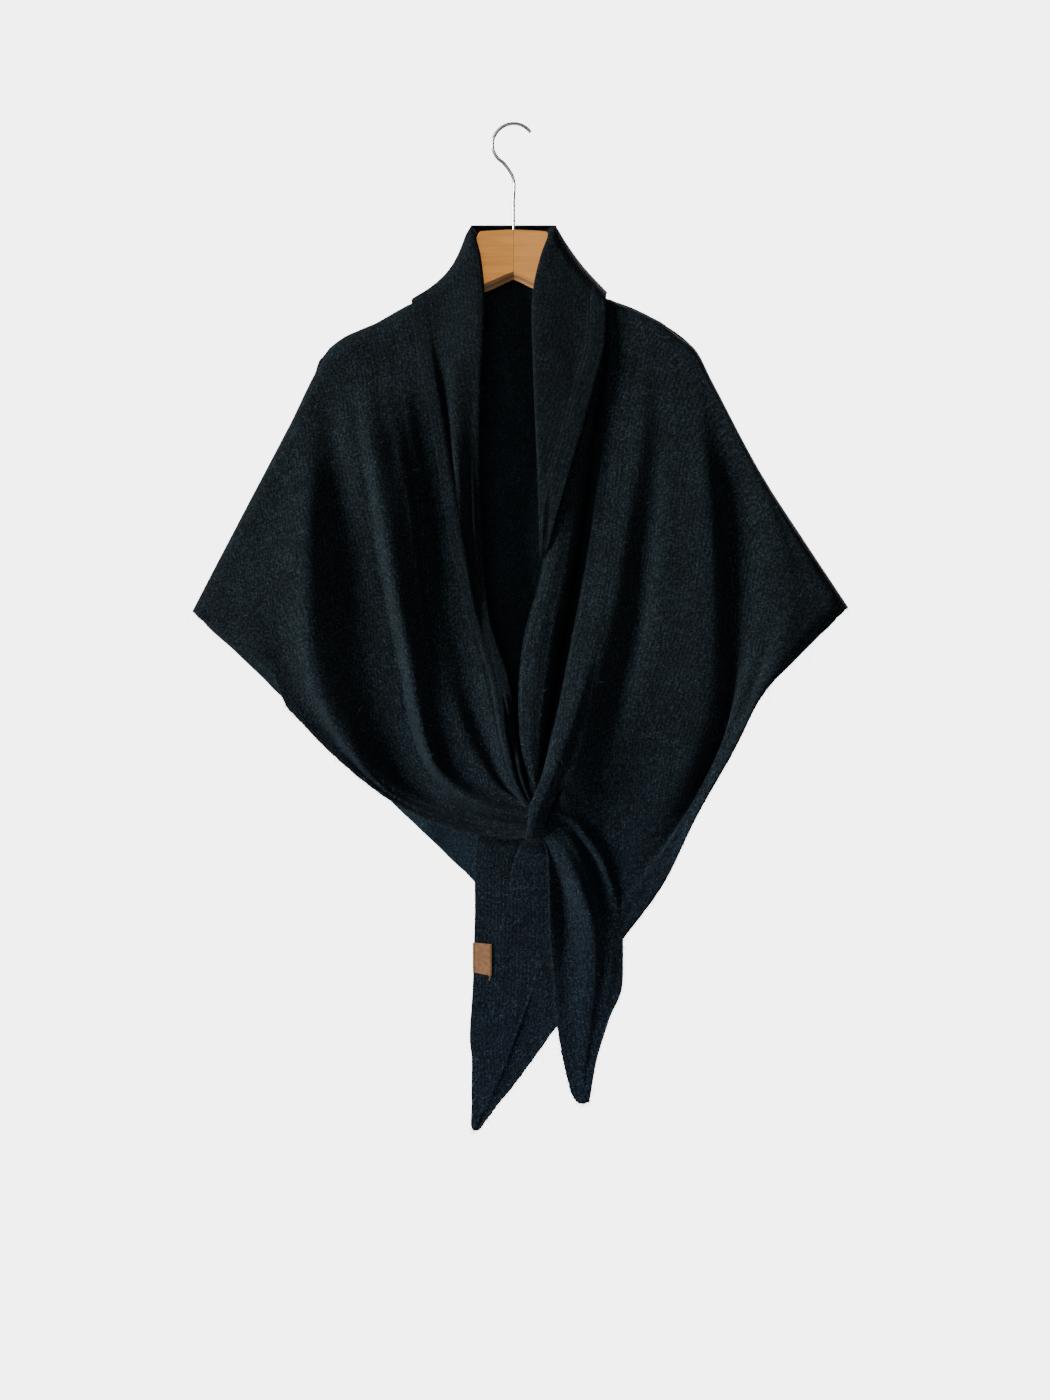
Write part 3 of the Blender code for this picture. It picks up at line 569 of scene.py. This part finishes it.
def rightHalfPoints():
    steps = crestSteps(rightHalf["rows"])
    tailSteps = np.linspace(0, 1, rightHalf["tailRows"] + 1)[1:]
    tracks = []
    for lifts, tailLifts, path, onward in rightHalf["lines"].values():
        upper, upperRun = alongCurve(path + onward, steps, 0, len(path) - 1)
        lower, lowerRun = alongCurve(path + onward, tailSteps, len(path) - 1)
        lift = np.append(liftsBelow(lifts, steps, upperRun),
                         liftsAlong((lifts[-1],) + tailLifts, tailSteps))
        run = np.append(upperRun, upperRun[-1] + lowerRun)
        tracks.append(np.column_stack([np.vstack([upper, lower]), run, lift]))
    x, drop, run, lift = acrossLines(tracks, rightHalf["between"])
    depth = hungDepth(x, run, quarterTurn(run, cloth["shoulderTurn"]), lift, -1)
    plane = np.interp(tailSteps, *zip(*rightHalf["tailPlane"]))
    depth[:, len(steps):] = plane[None, :] - lift[:, len(steps):]
    # the loop stands out over the knot and is open along both of its sides there
    first = rightHalf["loopFrom"] * rightHalf["between"] - rightHalf["between"] // 2
    last = rightHalf["loopTo"] * rightHalf["between"] + 1
    raised = swell(drop, rightHalf["loopDrops"])
    column = np.arange(len(x))[:, None]
    beside = np.maximum(first - column, column - last)
    part0, part1 = rightHalf["slitDrops"]
    parted = ease((drop - part0) / (part1 - part0 + 5 * np.maximum(beside, 0)))
    joined = np.where(column > last, 1 - parted, ease((drop - rightHalf["joinDrop"]) / 14))
    weight = np.where(beside <= 0, 1.0, joined * (1 - ease(beside / rightHalf["loopFade"])))
    across = np.clip((column - first) / (last - first), 0, 1)
    crown = rightHalf["loopCrown"] * (np.sin(math.pi * across) - 0.4) * (beside <= 0)
    depth -= raised * (rightHalf["loopLift"] * weight + crown)
    strip = swell(drop, rightHalf["stripDrops"])
    depth -= rightHalf["stripLift"] * strip * (1 - ease((column - first + 6) / rightHalf["stripFade"]))
    slits = {(edge, row) for edge in (first - 1, last) for row in range(x.shape[1] - 1)
             if raised[edge, row] > 0.1 and abs(weight[edge, row] - weight[edge + 1, row]) > 0.3}
    return np.stack([x, depth, drop], axis=-1), slits


def rightTailPoints():
    steps = np.linspace(0, 1, rightTail["rows"])
    x, drop, _, lift = spread(rightTail, steps)
    plane = np.interp(steps, *zip(*rightTail["plane"]))
    return np.stack([x, plane[None, :] - lift, drop], axis=-1)


leftGrid = wavy(leftHalfPoints(), 1.1, 42.0, 3.0)
rightGrid, slits = rightHalfPoints()
rightGrid = wavy(rightGrid, 1.1, 46.0, 9.0)
tailGrid = wavy(rightTailPoints(), 0.8, 24.0, 5.0)
leftFront = sheetPiece("leftFront", ragged(leftGrid, ["last"]), knitOutside, knitInside, flip=True)
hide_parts("left_front")
rightFront = sheetPiece("rightFrontAndTail", ragged(rightGrid, ["last", "tip"]), knitOutside, knitInside,
                        slits=slits)
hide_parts("right_front", "left_tail", "loop_band")
freeTail = sheetPiece("rightTail", ragged(tailGrid, ["first", "tip"]), knitOutside, knitInside)
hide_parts("right_tail")
print("fronts and tails made")


backPanel = {
    "rows": 130, "between": 5,
    "neckHalf": 52.0, "neckBlend": 25.0,    # half width of the straight neck edge
    "ridgeDrop": 98.0, "ridgeHalf": 9.0, "ridgeLift": 4.0, "ridgeSlope": 0.28,   # soft ridge at the nape
    "lines": {
        "leftSide": ((0, 0, 0), [(-208, 159), (-249, 237), (-290, 315), (-330, 392)]),
        "leftRoll": ((0, 0, 0), [(-203, 145), (-214, 181), (-253, 265), (-320, 403)]),
        "leftTip": ((0, -2, -1), [(-197, 130), (-240, 300), (-288, 432)]),
        "leftShoulder": ((0, -3, -4), [(-174, 110), (-205, 320), (-236, 482)]),
        "leftOuter": ((0, 2, 4), [(-146, 98), (-168, 340), (-180, 536)]),
        "leftFold": ((0, -2, -3), [(-112, 79), (-124, 350), (-128, 586)]),
        "leftNape": ((0, 2, 3), [(-83, 65), (-88, 350), (-90, 622)]),
        "leftCollar": ((0, 0, -1), [(-50, 40), (-62, 340), (-62, 649)]),
        "leftNeck": ((0, -2, -2), [(-40, 8), (-38, 340), (-32, 678)]),
        "middle": ((0, 2, 3), [(0, -1), (4, 360), (12, 720)]),
        "rightNeck": ((0, -2, -2), [(41, 10), (46, 345), (48, 684)]),
        "rightCollar": ((0, 0, -1), [(56, 40), (76, 345), (86, 646)]),
        "rightNape": ((0, 2, 3), [(92, 69), (106, 350), (120, 612)]),
        "rightFold": ((0, -2, -3), [(115, 77), (138, 350), (158, 574)]),
        "rightOuter": ((0, 2, 4), [(146, 92), (178, 340), (204, 528)]),
        "rightShoulder": ((0, -3, -4), [(180, 116), (216, 320), (250, 482)]),
        "rightTip": ((0, -2, -1), [(193, 136), (244, 300), (302, 430)]),
        "rightRoll": ((0, 0, 0), [(198, 145), (222, 199), (256, 272), (334, 398)]),
        "rightSide": ((0, 0, 0), [(201, 150), (254, 250), (299, 320), (344, 388)]),
    },
}


def backPoints():
    x, drop, run, lift = spread(backPanel, crestSteps(backPanel["rows"]))
    place = np.stack([x, drop], axis=-1)
    fold = curveThrough(np.vstack([place[0, ::-3], place[::3, 0], place[-1, ::3]]), 6)
    distance = np.zeros_like(x)
    for i in range(len(x)):
        distance[i] = np.linalg.norm(place[i][:, None] - fold, axis=-1).min(axis=-1)
    turn = quarterTurn(distance, cloth["shoulderTurn"])
    straight = 1 - ease((np.abs(x[:, :1]) - backPanel["neckHalf"]) / backPanel["neckBlend"])
    turn = turn + (1 - turn) * straight
    depth = hungDepth(x, run, turn, lift, 1)
    ridge = (drop - backPanel["ridgeDrop"] + backPanel["ridgeSlope"] * x) / backPanel["ridgeHalf"]
    depth -= backPanel["ridgeLift"] * np.exp(-ridge**2) * (1 - ease((np.abs(x) - 30) / 25))
    return np.stack([x, depth, drop], axis=-1)


backGrid = wavy(backPoints(), 1.2, 60.0, 12.0)
backSheet = sheetPiece("backPanel", ragged(backGrid, ["tip"]), knitInside, knitOutside)
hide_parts("back_panel")
print("back made")


collar = {
    "flatColumns": 48, "backRows": 12,
    "rollOut": 5.5,         # how far the roll stands past the front's own edge
    "full": 26.0,           # width from which the lapel has its whole roll
    "least": 0.35,          # share of it that the narrowest lapel has
    "grow": 28.0,           # length over which the roll closes below the shoulder
    "flat": 1.5,            # reach of the open roll at the shoulder
    # section of the roll: reach out of the V, share of the stand
    "profile": [(-5.2, 0.0), (-1.7, 0.1), (0.0, 0.5), (-1.7, 0.9), (-5.5, 1.0)],
    "topRoll": 5.0,         # length over which the collar turns over at the nape
    "sinkFrom": 0.95, "sink": 1.6,      # where a lapel's end sinks into the front, in layers
    # stand: how far the roll holds the lapel off the front, at the neck and lower down;
    # border: width of the band linked on along the long edge and how far it stands out
    "standFrom": 60.0, "standOver": 120.0,      # drop from which, and length over which, the stand changes
    "left": {
        "rows": 150, "stand": (3.5, 2.4), "border": 15.5, "borderLift": 0.8,
        "roll": [(-39, -2), (-31, 61), (-35, 174), (-35, 277), (-25, 400), (-5, 464), (3, 529),
                 (10, 566), (19, 590)],
        "middle": [(-64, 38), (-63, 90), (-59, 174), (-51, 277), (-40, 392), (-22, 462), (-10, 525),
                   (1, 562), (17, 592)],
        "edge": [(-105, 71), (-98, 127), (-83, 205), (-66, 316), (-56, 359), (-46, 402), (-34, 446),
                 (-21, 500), (-8, 554), (14, 594)],
    },
    "right": {
        "rows": 100, "stand": (3.5, 5.0), "border": 19.0, "borderLift": 2.2,
        "roll": [(37, -3), (21, 61), (21, 136), (26, 262), (28, 334)],
        "middle": [(68, 34), (57, 90), (52, 136), (44, 205), (36, 270), (30, 336)],
        "edge": [(95, 64), (93, 121), (84, 154), (70, 205), (56, 252), (40, 309), (32, 338)],
    },
    "nape": [
        [(-45, -5), (-60, 32), (-86, 61), (-103, 70)],
        [(-22, -5), (-34, 38), (-54, 80)],
        [(0, -5), (0, 39), (0, 82)],
        [(22, -5), (33, 37), (53, 79)],
        [(45, -5), (53, 14), (68, 33), (94, 61), (97, 64)],
    ],
}


def lapelPoints(front, lapel, inward):
    # lapel lying on a front, with the roll that turns it out of the V; inward is 1 or -1 along x
    tree = surfaceTree(front)
    rows = lapel["rows"]
    (roll, run), (middle, _), (edge, _) = (alongCurve(lapel[line], crestSteps(rows))
                                           for line in ("roll", "middle", "edge"))
    profile = curveThrough(collar["profile"], 4)
    fold = len(profile)
    points = np.zeros((fold + collar["flatColumns"], rows, 3))
    bridge = np.zeros(points.shape[:2])
    for j in range(rows):
        scale = np.clip(abs(edge[j, 0] - roll[j, 0]) / collar["full"], collar["least"], 1.0)
        grown = ease(run[j] / collar["grow"])
        stand0, stand1 = lapel["stand"]
        rise = stand0 + (stand1 - stand0) * ease((roll[j, 1] - collar["standFrom"]) / collar["standOver"])
        for i, (reach, stand) in enumerate(profile):
            openReach = -collar["flat"] * i / 4
            x = roll[j, 0] + inward * (openReach + (reach * scale - openReach) * grown)
            points[i, j] = (x, stand * rise * scale * grown, roll[j, 1] + openReach / 2 * (1 - grown))
        last = points[fold - 1, j]
        flat = curveThrough([(last[0], last[2]), middle[j], edge[j]], collar["flatColumns"] // 2)
        fromEdge = np.linalg.norm(flat - flat[-1], axis=1)
        for i in range(1, len(flat)):
            settle = ease(i / (len(flat) - 1))
            band = lapel["borderLift"] * ease((lapel["border"] + 2 - fromEdge[i]) / 4.0) * scale
            bridge[fold + i - 1, j] = ease((lapel["border"] + 6 - fromEdge[i]) / 7.0)
            points[fold + i - 1, j] = (flat[i, 0], last[1] * (1 - settle) + band, flat[i, 1])
    turn = quarterTurn(run, cloth["collarTurn"])
    for i, j in np.ndindex(points.shape[:2]):
        x, stand, drop = points[i, j]
        probe = x if i >= fold else roll[j, 0] - inward * (collar["rollOut"] + 2.0)
        under = depthAt(tree, probe, max(drop, points[i, 0, 2] + cloth["collarTurn"] + 4.0))
        under += (min(under, flatDepth(x, run[j], -1)) - under) * bridge[i, j]    # over the trough beside it
        sunk = collar["sink"] * ease((j / rows - collar["sinkFrom"]) / 0.05)
        flush = cloth["stack"] * min(i / 8.0, 1.0) * (1 - sunk)
        points[i, j, 1] = overCrest(x, under - flush - stand, turn[j])
    depth = points[..., 1]
    for _ in range(8):      # evens out small steps in what lies underneath
        depth[:, 12:-1] = (depth[:, 11:-2] + 2 * depth[:, 12:-1] + depth[:, 13:]) / 4
    for _ in range(3):
        depth[1:-1, 12:] = (depth[:-2, 12:] + 2 * depth[1:-1, 12:] + depth[2:, 12:]) / 4
    return points


def napePoints(back, across):
    # the strip behind the neck, with as many columns as the lapels
    tree = surfaceTree(back * [1, -1, 1])
    rollShares = curveThrough([(s, 0) for s in (0.0, 0.02, 0.05, 0.1, 0.18)], 4)[:, 0]
    steps = list(rollShares) + list(np.linspace(0.18, 1.0, across - len(rollShares) + 1))[1:]
    tracks = []
    for path in collar["nape"]:
        points, run = alongCurve(path, steps)
        tracks.append(np.column_stack([points, run, run * 0]))
    x, drop, run, _ = acrossLines(tracks, collar["backRows"])
    fromCrest = 0.75 * np.minimum(np.abs(x - x[:1]), np.abs(x - x[-1:]))
    turn = quarterTurn(fromCrest, 10.0)
    top = quarterTurn(run, collar["topRoll"])
    inside = 1 - cloth["collarTurn"] / np.maximum(np.abs(x), cloth["collarTurn"] + 1)
    depth = np.zeros_like(x)
    for i, j in np.ndindex(x.shape):
        under = -depthAt(tree, x[i, j] * inside[i, j], max(drop[i, j], 6.0))
        depth[i, j] = overCrest(x[i, j], under - 0.5 + (cloth["stack"] + 0.5) * top[i, j], turn[i, j])
    return np.stack([x, depth, drop], axis=-1)


leftLapel = lapelPoints(leftGrid, collar["left"], 1)
rightLapel = lapelPoints(rightGrid, collar["right"], -1)
nape = napePoints(backGrid, leftLapel.shape[0])
leftCrest = (leftLapel[:, 0] + nape[0]) / 2
rightCrest = (rightLapel[:, 0] + nape[-1]) / 2
strip = np.concatenate([leftLapel[:, :0:-1], leftCrest[:, None], nape[1:-1].transpose(1, 0, 2),
                        rightCrest[:, None], rightLapel[:, 1:]], axis=1)[::-1]
collarStrip = sheetPiece("collarAndLapels", strip, knitLapel, knitOutside, flip=True)
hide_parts("left_lapel", "right_lapel", "back_collar")
print("collar and lapels made")


hanger = {
    "half": 6.5,            # half of its thickness
    "round": 1.0,           # softened top edges
    "cutBack": 6.5,         # how far the laminated lower edge is cut back
    # from the middle out: x, drop of the top, of the front face's lower edge, of the underside
    "arm": [(0.12, -1.5, 42, 50), (8, -1.2, 45, 53.5), (16, -0.8, 48.6, 57.5), (30, 0, 54.5, 63.5),
            (35, 1, 57, 66), (38, 7, 59, 68), (42, 20, 63, 72), (52, 42, 70, 78), (70, 57, 80, 87),
            (84, 71, 89, 95), (104, 83, 100, 105), (143, 103, 120, 124), (170, 121, 136, 139),
            (184, 134, 145, 147), (190, 142, 146, 147)],
    "wire": 3.5, "hookRadius": 20.0, "hookFoot": 35.0, "hookNeck": 14.0,
}


def woodMaterial(name, pale, dark, along, swirl):
    # fine grain along a direction in the board's plane, with soft swirls where the cut crosses a knot
    made, tree, shader = newMaterial(name, {"Roughness": 0.42, "Coat Weight": 0.25, "Coat Roughness": 0.25})
    where = tree.nodes.new("ShaderNodeTexCoord").outputs["Object"]
    turned = setNode(tree, "ShaderNodeMapping", {0: where, "Rotation": (0, math.radians(along), 0),
                                                 "Scale": (9, 40, 160)})
    rings = noiseOf(tree, turned, 1.0, 5.0, 0.6, swirl)
    fine = mathNode(tree, "MULTIPLY", noiseOf(tree, turned, 6.0, 3.0), 0.25)
    grain = rangeOf(tree, mathNode(tree, "MULTIPLY_ADD", rings, 0.75, fine), 0.38, 0.62)
    tree.links.new(blendOf(tree, grain, dark, pale), shader.inputs["Base Color"])
    return made


woodLeft = woodMaterial("woodLeft", (0.60, 0.245, 0.038, 1), (0.47, 0.175, 0.024, 1), 12, 2.2)
woodRight = woodMaterial("woodRight", (0.61, 0.255, 0.043, 1), (0.50, 0.195, 0.029, 1), -48, 0.4)
plyOuter = woodMaterial("plyOuter", (0.50, 0.24, 0.075, 1), (0.40, 0.18, 0.05, 1), 20, 0.5)
plyInner = woodMaterial("plyInner", (0.27, 0.15, 0.07, 1), (0.20, 0.11, 0.05, 1), 20, 0.5)


def hangerArm(name, side, wood):
    half, cut = hanger["half"], hanger["round"]
    stations = curveThrough(hanger["arm"], 4)
    rings = []
    for x, top, lower, under in stations:
        back = min(hanger["cutBack"], (under - lower) * 0.8)
        third = [(-half + back * k / 3, lower + (under - lower) * k / 3) for k in range(1, 4)]
        section = [(-half, top + cut), (-half, lower - 0.4), (-half + 0.3, lower), *third,
                   (half - cut, under), (half, under - cut), (half, top + cut), (half - cut, top),
                   (-half + cut, top), (-half, top + cut)]
        rings.append([(side * x, hangerDepth(x) + depth, drop) for depth, drop in section])
    bm, cell = cellGrid(len(rings), len(rings[0]))
    for face in bm.faces:
        row = min(cell[vert][1] for vert in face.verts)
        face.material_index = {3: 2, 2: 1, 4: 1}.get(row, 0)    # plies of the cut-back edge
    for vert, (i, j) in cell.items():
        vert.co = toWorld(*rings[i][j])
    bmesh.ops.remove_doubles(bm, verts=bm.verts, dist=0.00002)
    bmesh.ops.holes_fill(bm, edges=[edge for edge in bm.edges if edge.is_boundary], sides=0)
    bmesh.ops.recalc_face_normals(bm, faces=bm.faces)
    made = fixedPiece(name, meshFrom(name, bm), (wood, plyOuter, plyInner))
    made.data.set_sharp_from_angle(angle=math.radians(25))
    return made


hangerLeft = hangerArm("hangerLeft", -1, woodLeft)
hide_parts("hanger_arm_left")
hangerRight = hangerArm("hangerRight", 1, woodRight)
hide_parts("hanger_arm_right")


def plainMaterial(name, colour, roughness, metallic=0.0):
    return newMaterial(name, {"Base Color": (*colour, 1), "Roughness": roughness, "Metallic": metallic})[0]


def threadPiece(name, strands, radius, finish):
    # round threads along lines of world points, as one mesh
    curve = bpy.data.curves.new(name, "CURVE")
    curve.dimensions = "3D"
    curve.bevel_depth = radius * mm
    curve.bevel_resolution = 0 if radius < 0.5 else 4
    curve.use_fill_caps = True
    for strand in strands:
        line = curve.splines.new("POLY")
        line.points.add(len(strand) - 1)
        for k, (point, place) in enumerate(zip(line.points, strand)):
            point.co = (*place, 1.0)
            point.radius = 1.0 if radius > 0.5 else 1.0 - 0.6 * k / len(strand)
    source = inScene(name, curve)
    shape = source.evaluated_get(bpy.context.evaluated_depsgraph_get())
    mesh = bpy.data.meshes.new_from_object(shape)
    bpy.data.objects.remove(source)
    mesh.name = name
    return fixedPiece(name, mesh, [finish])


steel = plainMaterial("steel", (0.62, 0.60, 0.62), 0.16, 1.0)
turn = hanger["hookRadius"] + hanger["wire"] / 2
foot = toWorld(0, 0, 4).z / mm
bend = [(turn * math.cos(angle), -hanger["hookRadius"] + turn * math.sin(angle))
        for angle in np.radians(range(-120, -325, -12))]
shank = [(0.0, foot + hanger["hookFoot"]), (0.0, -hanger["hookRadius"] - turn - hanger["hookNeck"])]
wire = [(0.0, foot)] + [tuple(p) for p in curveThrough(shank + bend, 4)]
wire = [Vector((x * mm, 0, z * mm)) for x, z in wire]
hook = threadPiece("hook", [wire], hanger["wire"] / 2, steel)
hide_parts("hanger_hook")
print("hanger and hook made")


label = {
    # corners (x, drop): top left, top right, bottom right, bottom left
    "corners": [(-42.2, 732.6), (-22.4, 734.6), (-22.5, 767.2), (-42.1, 763.4)],
    "thick": 1.2, "columns": 15, "rows": 25,
    "dark": (0.180, 0.080, 0.033, 1), "pale": (0.255, 0.120, 0.052, 1),
    "seams": (0.08, 0.92),      # shares of the width where the stitches run
    "stitchStep": 0.075,        # the same of the height, from stitch to stitch
}


def patchMaterial(name):
    made, tree, shader = newMaterial(name, {"Roughness": 0.6})
    where = tree.nodes.new("ShaderNodeTexCoord").outputs["Object"]
    mottle = rangeOf(tree, noiseOf(tree, where, 260.0, 4.0), 0.35, 0.65)
    setNode(tree, shader, {"Base Color": blendOf(tree, mottle, label["dark"], label["pale"]),
                           "Normal": bumpOf(tree, noiseOf(tree, where, 900.0, 3.0), 1.0, 0.0003)})
    return made


patchLeather = patchMaterial("patchLeather")

rightTree = surfaceTree(rightGrid)


def labelPlace(u, v, out):
    # point on the patch at shares u across and v down, out in front of the tail's surface
    topLeft, topRight, lowRight, lowLeft = (np.array(c) for c in label["corners"])
    x, drop = (topLeft * (1 - u) + topRight * u) * (1 - v) + (lowLeft * (1 - u) + lowRight * u) * v
    return x, depthAt(rightTree, x, drop) - cloth["wall"] / 2 - out, drop


patchGrid = np.array([[labelPlace(u, v, 0.2 + label["thick"] / 2) for v in np.linspace(0, 1, label["rows"])]
                      for u in np.linspace(0, 1, label["columns"])])
patch = sheetPiece("labelPatch", patchGrid, patchLeather, patchLeather, label["thick"])
bevel = patch.modifiers.new("edge", "BEVEL")
bevel.width = 0.0003
bevel.segments = 2
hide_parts("label_patch")
stitches = []
for u in label["seams"]:
    for v in np.arange(0.05, 0.97, label["stitchStep"]):
        stitches.append([toWorld(*labelPlace(u, v + onward, out))
                         for onward, out in ((0.0, 1.2), (0.012, 1.65), (0.035, 1.65), (0.047, 1.2))])
darkThread = plainMaterial("darkThread", (0.012, 0.010, 0.010), 0.8)
labelStitches = threadPiece("labelStitches", stitches, 0.28, darkThread)
loose = [labelPlace(0.85, 1.0, 0.6), (-24.0, -33.6, 769.0), (-25.0, -34.4, 770.5), (-25.4, -34.0, 772.6)]
goldThread = plainMaterial("goldThread", (0.35, 0.19, 0.045), 0.7)
looseThread = threadPiece("looseThread", [[toWorld(*p) for p in curveThrough(loose, 5)]], 0.3, goldThread)
print("label made")


fibres = {      # millimetres: spacing, usual length, share of long ones and how long they get
    "radius": 0.09, "strayRadius": 0.07, "shares": (0, 0.25, 0.5, 0.75, 1), "sag": 0.35, "arch": 1.2,
    "hem": {"every": 1.1, "length": 3.2, "long": 0.07, "longest": 16.0},
    "nap": {"every": 0.9, "length": 1.3, "long": 0.02, "longest": 5.0},
}


def rimHairs(points, rim, inner, kind):
    # hairs that stand out from an edge of a grid, rim, away from a line further in
    outer, inside = points[rim], points[inner]
    length = runAlong(outer)
    strands = []
    for place in np.arange(0, length[-1], kind["every"]):
        at = place + random.uniform(-1, 1) * kind["every"]
        root, base, onward = (np.array([np.interp(spot, length, line[:, k]) for k in range(3)])
                              for spot, line in ((at, outer), (at, inside), (at + 2, outer)))
        along = onward - root
        out = (root - base) / (np.linalg.norm(root - base) + 1e-6)
        along = along / (np.linalg.norm(along) + 1e-6)
        reach = kind["length"] * random.uniform(0.4, 1.6)
        if random.random() < kind["long"]:
            reach = random.uniform(0.35, 1.0) * kind["longest"]
        lean = random.uniform(-1.3, 1.3)
        bow = random.uniform(-0.5, 0.5)
        toViewer = random.uniform(-0.6, 0.4)
        strands.append([toWorld(*(root - out * 0.6 + reach * (
            out * t + along * (lean * t + bow * t * t) + np.array([0, toViewer * t, fibres["sag"] * t * t]))))
            for t in fibres["shares"]])
    return strands


def napHairs(points, count, longest):
    # a few long hairs lying over the front of a sheet
    strands = []
    for _ in range(count):
        i = random.randrange(2, points.shape[0] - 2)
        j = random.randrange(4, points.shape[1] - 2)
        root = points[i, j]
        angle = random.uniform(0, 2 * math.pi)
        reach = random.uniform(0.25, 1.0) * longest
        curl = random.uniform(-1.0, 1.0)
        strands.append([toWorld(root[0] + reach * t * math.cos(angle + curl * t),
                                root[1] - (cloth["wall"] / 2 + 0.3 + fibres["arch"] * math.sin(math.pi * t)),
                                root[2] + reach * t * math.sin(angle + curl * t)) for t in fibres["shares"]])
    return strands


hairDark = plainMaterial("hairDark", (0.012, 0.015, 0.018), 0.8)
hairPale = plainMaterial("hairPale", (0.16, 0.17, 0.18), 0.8)
hem, nap = fibres["hem"], fibres["nap"]
hemRims = [
    (leftGrid, (-1, every), (-5, every), hem),
    (rightGrid, (-1, every), (-5, every), hem),
    (tailGrid, (every, -1), (every, -4), dict(hem, every=0.5, longest=20.0)),
    (rightGrid, (every, -1), (every, -4), dict(hem, every=0.4, longest=22.0)),
    (tailGrid, (0, every), (5, every), hem),
    (tailGrid, (-1, every), (-5, every), dict(hem, longest=7.0)),
]
napRims = [
    (leftGrid, (every, 0), (every, 8), nap),
    (rightGrid, (every, 0), (every, 8), nap),
    (rightGrid, (0, every), (5, every), nap),
    (strip, (0, every), (4, every), nap),
    (strip, (-12, every), (-4, every), nap),
]
for name, rims in (("hemFibres", hemRims), ("edgeFibres", napRims)):
    hairs = [hair for rim in rims for hair in rimHairs(*rim)]
    threadPiece(name, hairs, fibres["radius"], hairDark)
stray = [hair for points, count, longest in ((leftGrid, 260, 7.0), (rightGrid, 260, 7.0), (tailGrid, 60, 5.0))
         for hair in napHairs(points, count, longest)]
threadPiece("strayFibres", stray, fibres["strayRadius"], hairPale)
print("fibres made")
cameraData = bpy.data.cameras.new("camera")
cameraData.lens = view["lens"]
cameraData.sensor_fit = "VERTICAL"
cameraData.sensor_height = 36.0
cameraObject = inScene("camera", cameraData)
middle = toWorld(view["middle"][0], 0, view["middle"][1])
cameraObject.location = middle + Vector((0, -view["distance"] * mm, 0))
cameraObject.rotation_euler = (math.pi / 2, 0, 0)
bpy.context.scene.camera = cameraObject


def softLight(name, place, size, power, colour):
    data = bpy.data.lights.new(name, "AREA")
    data.size = size
    data.energy = power
    data.color = colour
    lamp = inScene(name, data)
    lamp.location = place
    lamp.rotation_euler = (middle - Vector(place)).to_track_quat("-Z", "Y").to_euler()
    return lamp


key = dict(place=(-6.0, -2.7, 1.3), size=2.4, power=1160.0, colour=(1.0, 0.98, 0.95))
clothKey = softLight("keyLight", **key)
softLight("fillLight", (-1.0, -3.4, 0.8), 1.6, 22.0, (0.93, 0.97, 1.0))
softLight("backLight", (2.4, 3.6, 1.2), 2.4, 420.0, (0.96, 0.98, 1.0))
# the hanger gets the same key light without the collar's shadow across it
hangerKey = softLight("hangerKey", **key)
for light, state in ((clothKey, "EXCLUDE"), (hangerKey, "INCLUDE")):
    arms = bpy.data.collections.new(light.name + "Arms")
    for arm in (hangerLeft, hangerRight):
        arms.objects.link(arm)
    for linked in arms.collection_objects:
        linked.light_linking.link_state = state
    light.light_linking.receiver_collection = arms
    if state == "INCLUDE":
        light.light_linking.blocker_collection = arms

world = bpy.data.worlds.new("paleRoom")
bpy.context.scene.world = world
world.use_nodes = True
seen = world.node_tree.nodes.new("ShaderNodeLightPath").outputs["Is Camera Ray"]
setNode(world.node_tree, world.node_tree.nodes["Background"],
        {0: (0.87, 0.87, 0.87, 1), 1: mathNode(world.node_tree, "MULTIPLY_ADD", seen, 5.9, 0.14)})

floorGrid = bmesh.new()
bmesh.ops.create_grid(floorGrid, x_segments=1, y_segments=1, size=0.9)
bmesh.ops.translate(floorGrid, verts=floorGrid.verts, vec=(0, 0, -1.75))
floor = inScene("floor", meshFrom("floor", floorGrid))
floor.data.materials.append(plainMaterial("paleFloor", (0.85, 0.85, 0.85), 0.9))
print("camera and light set")
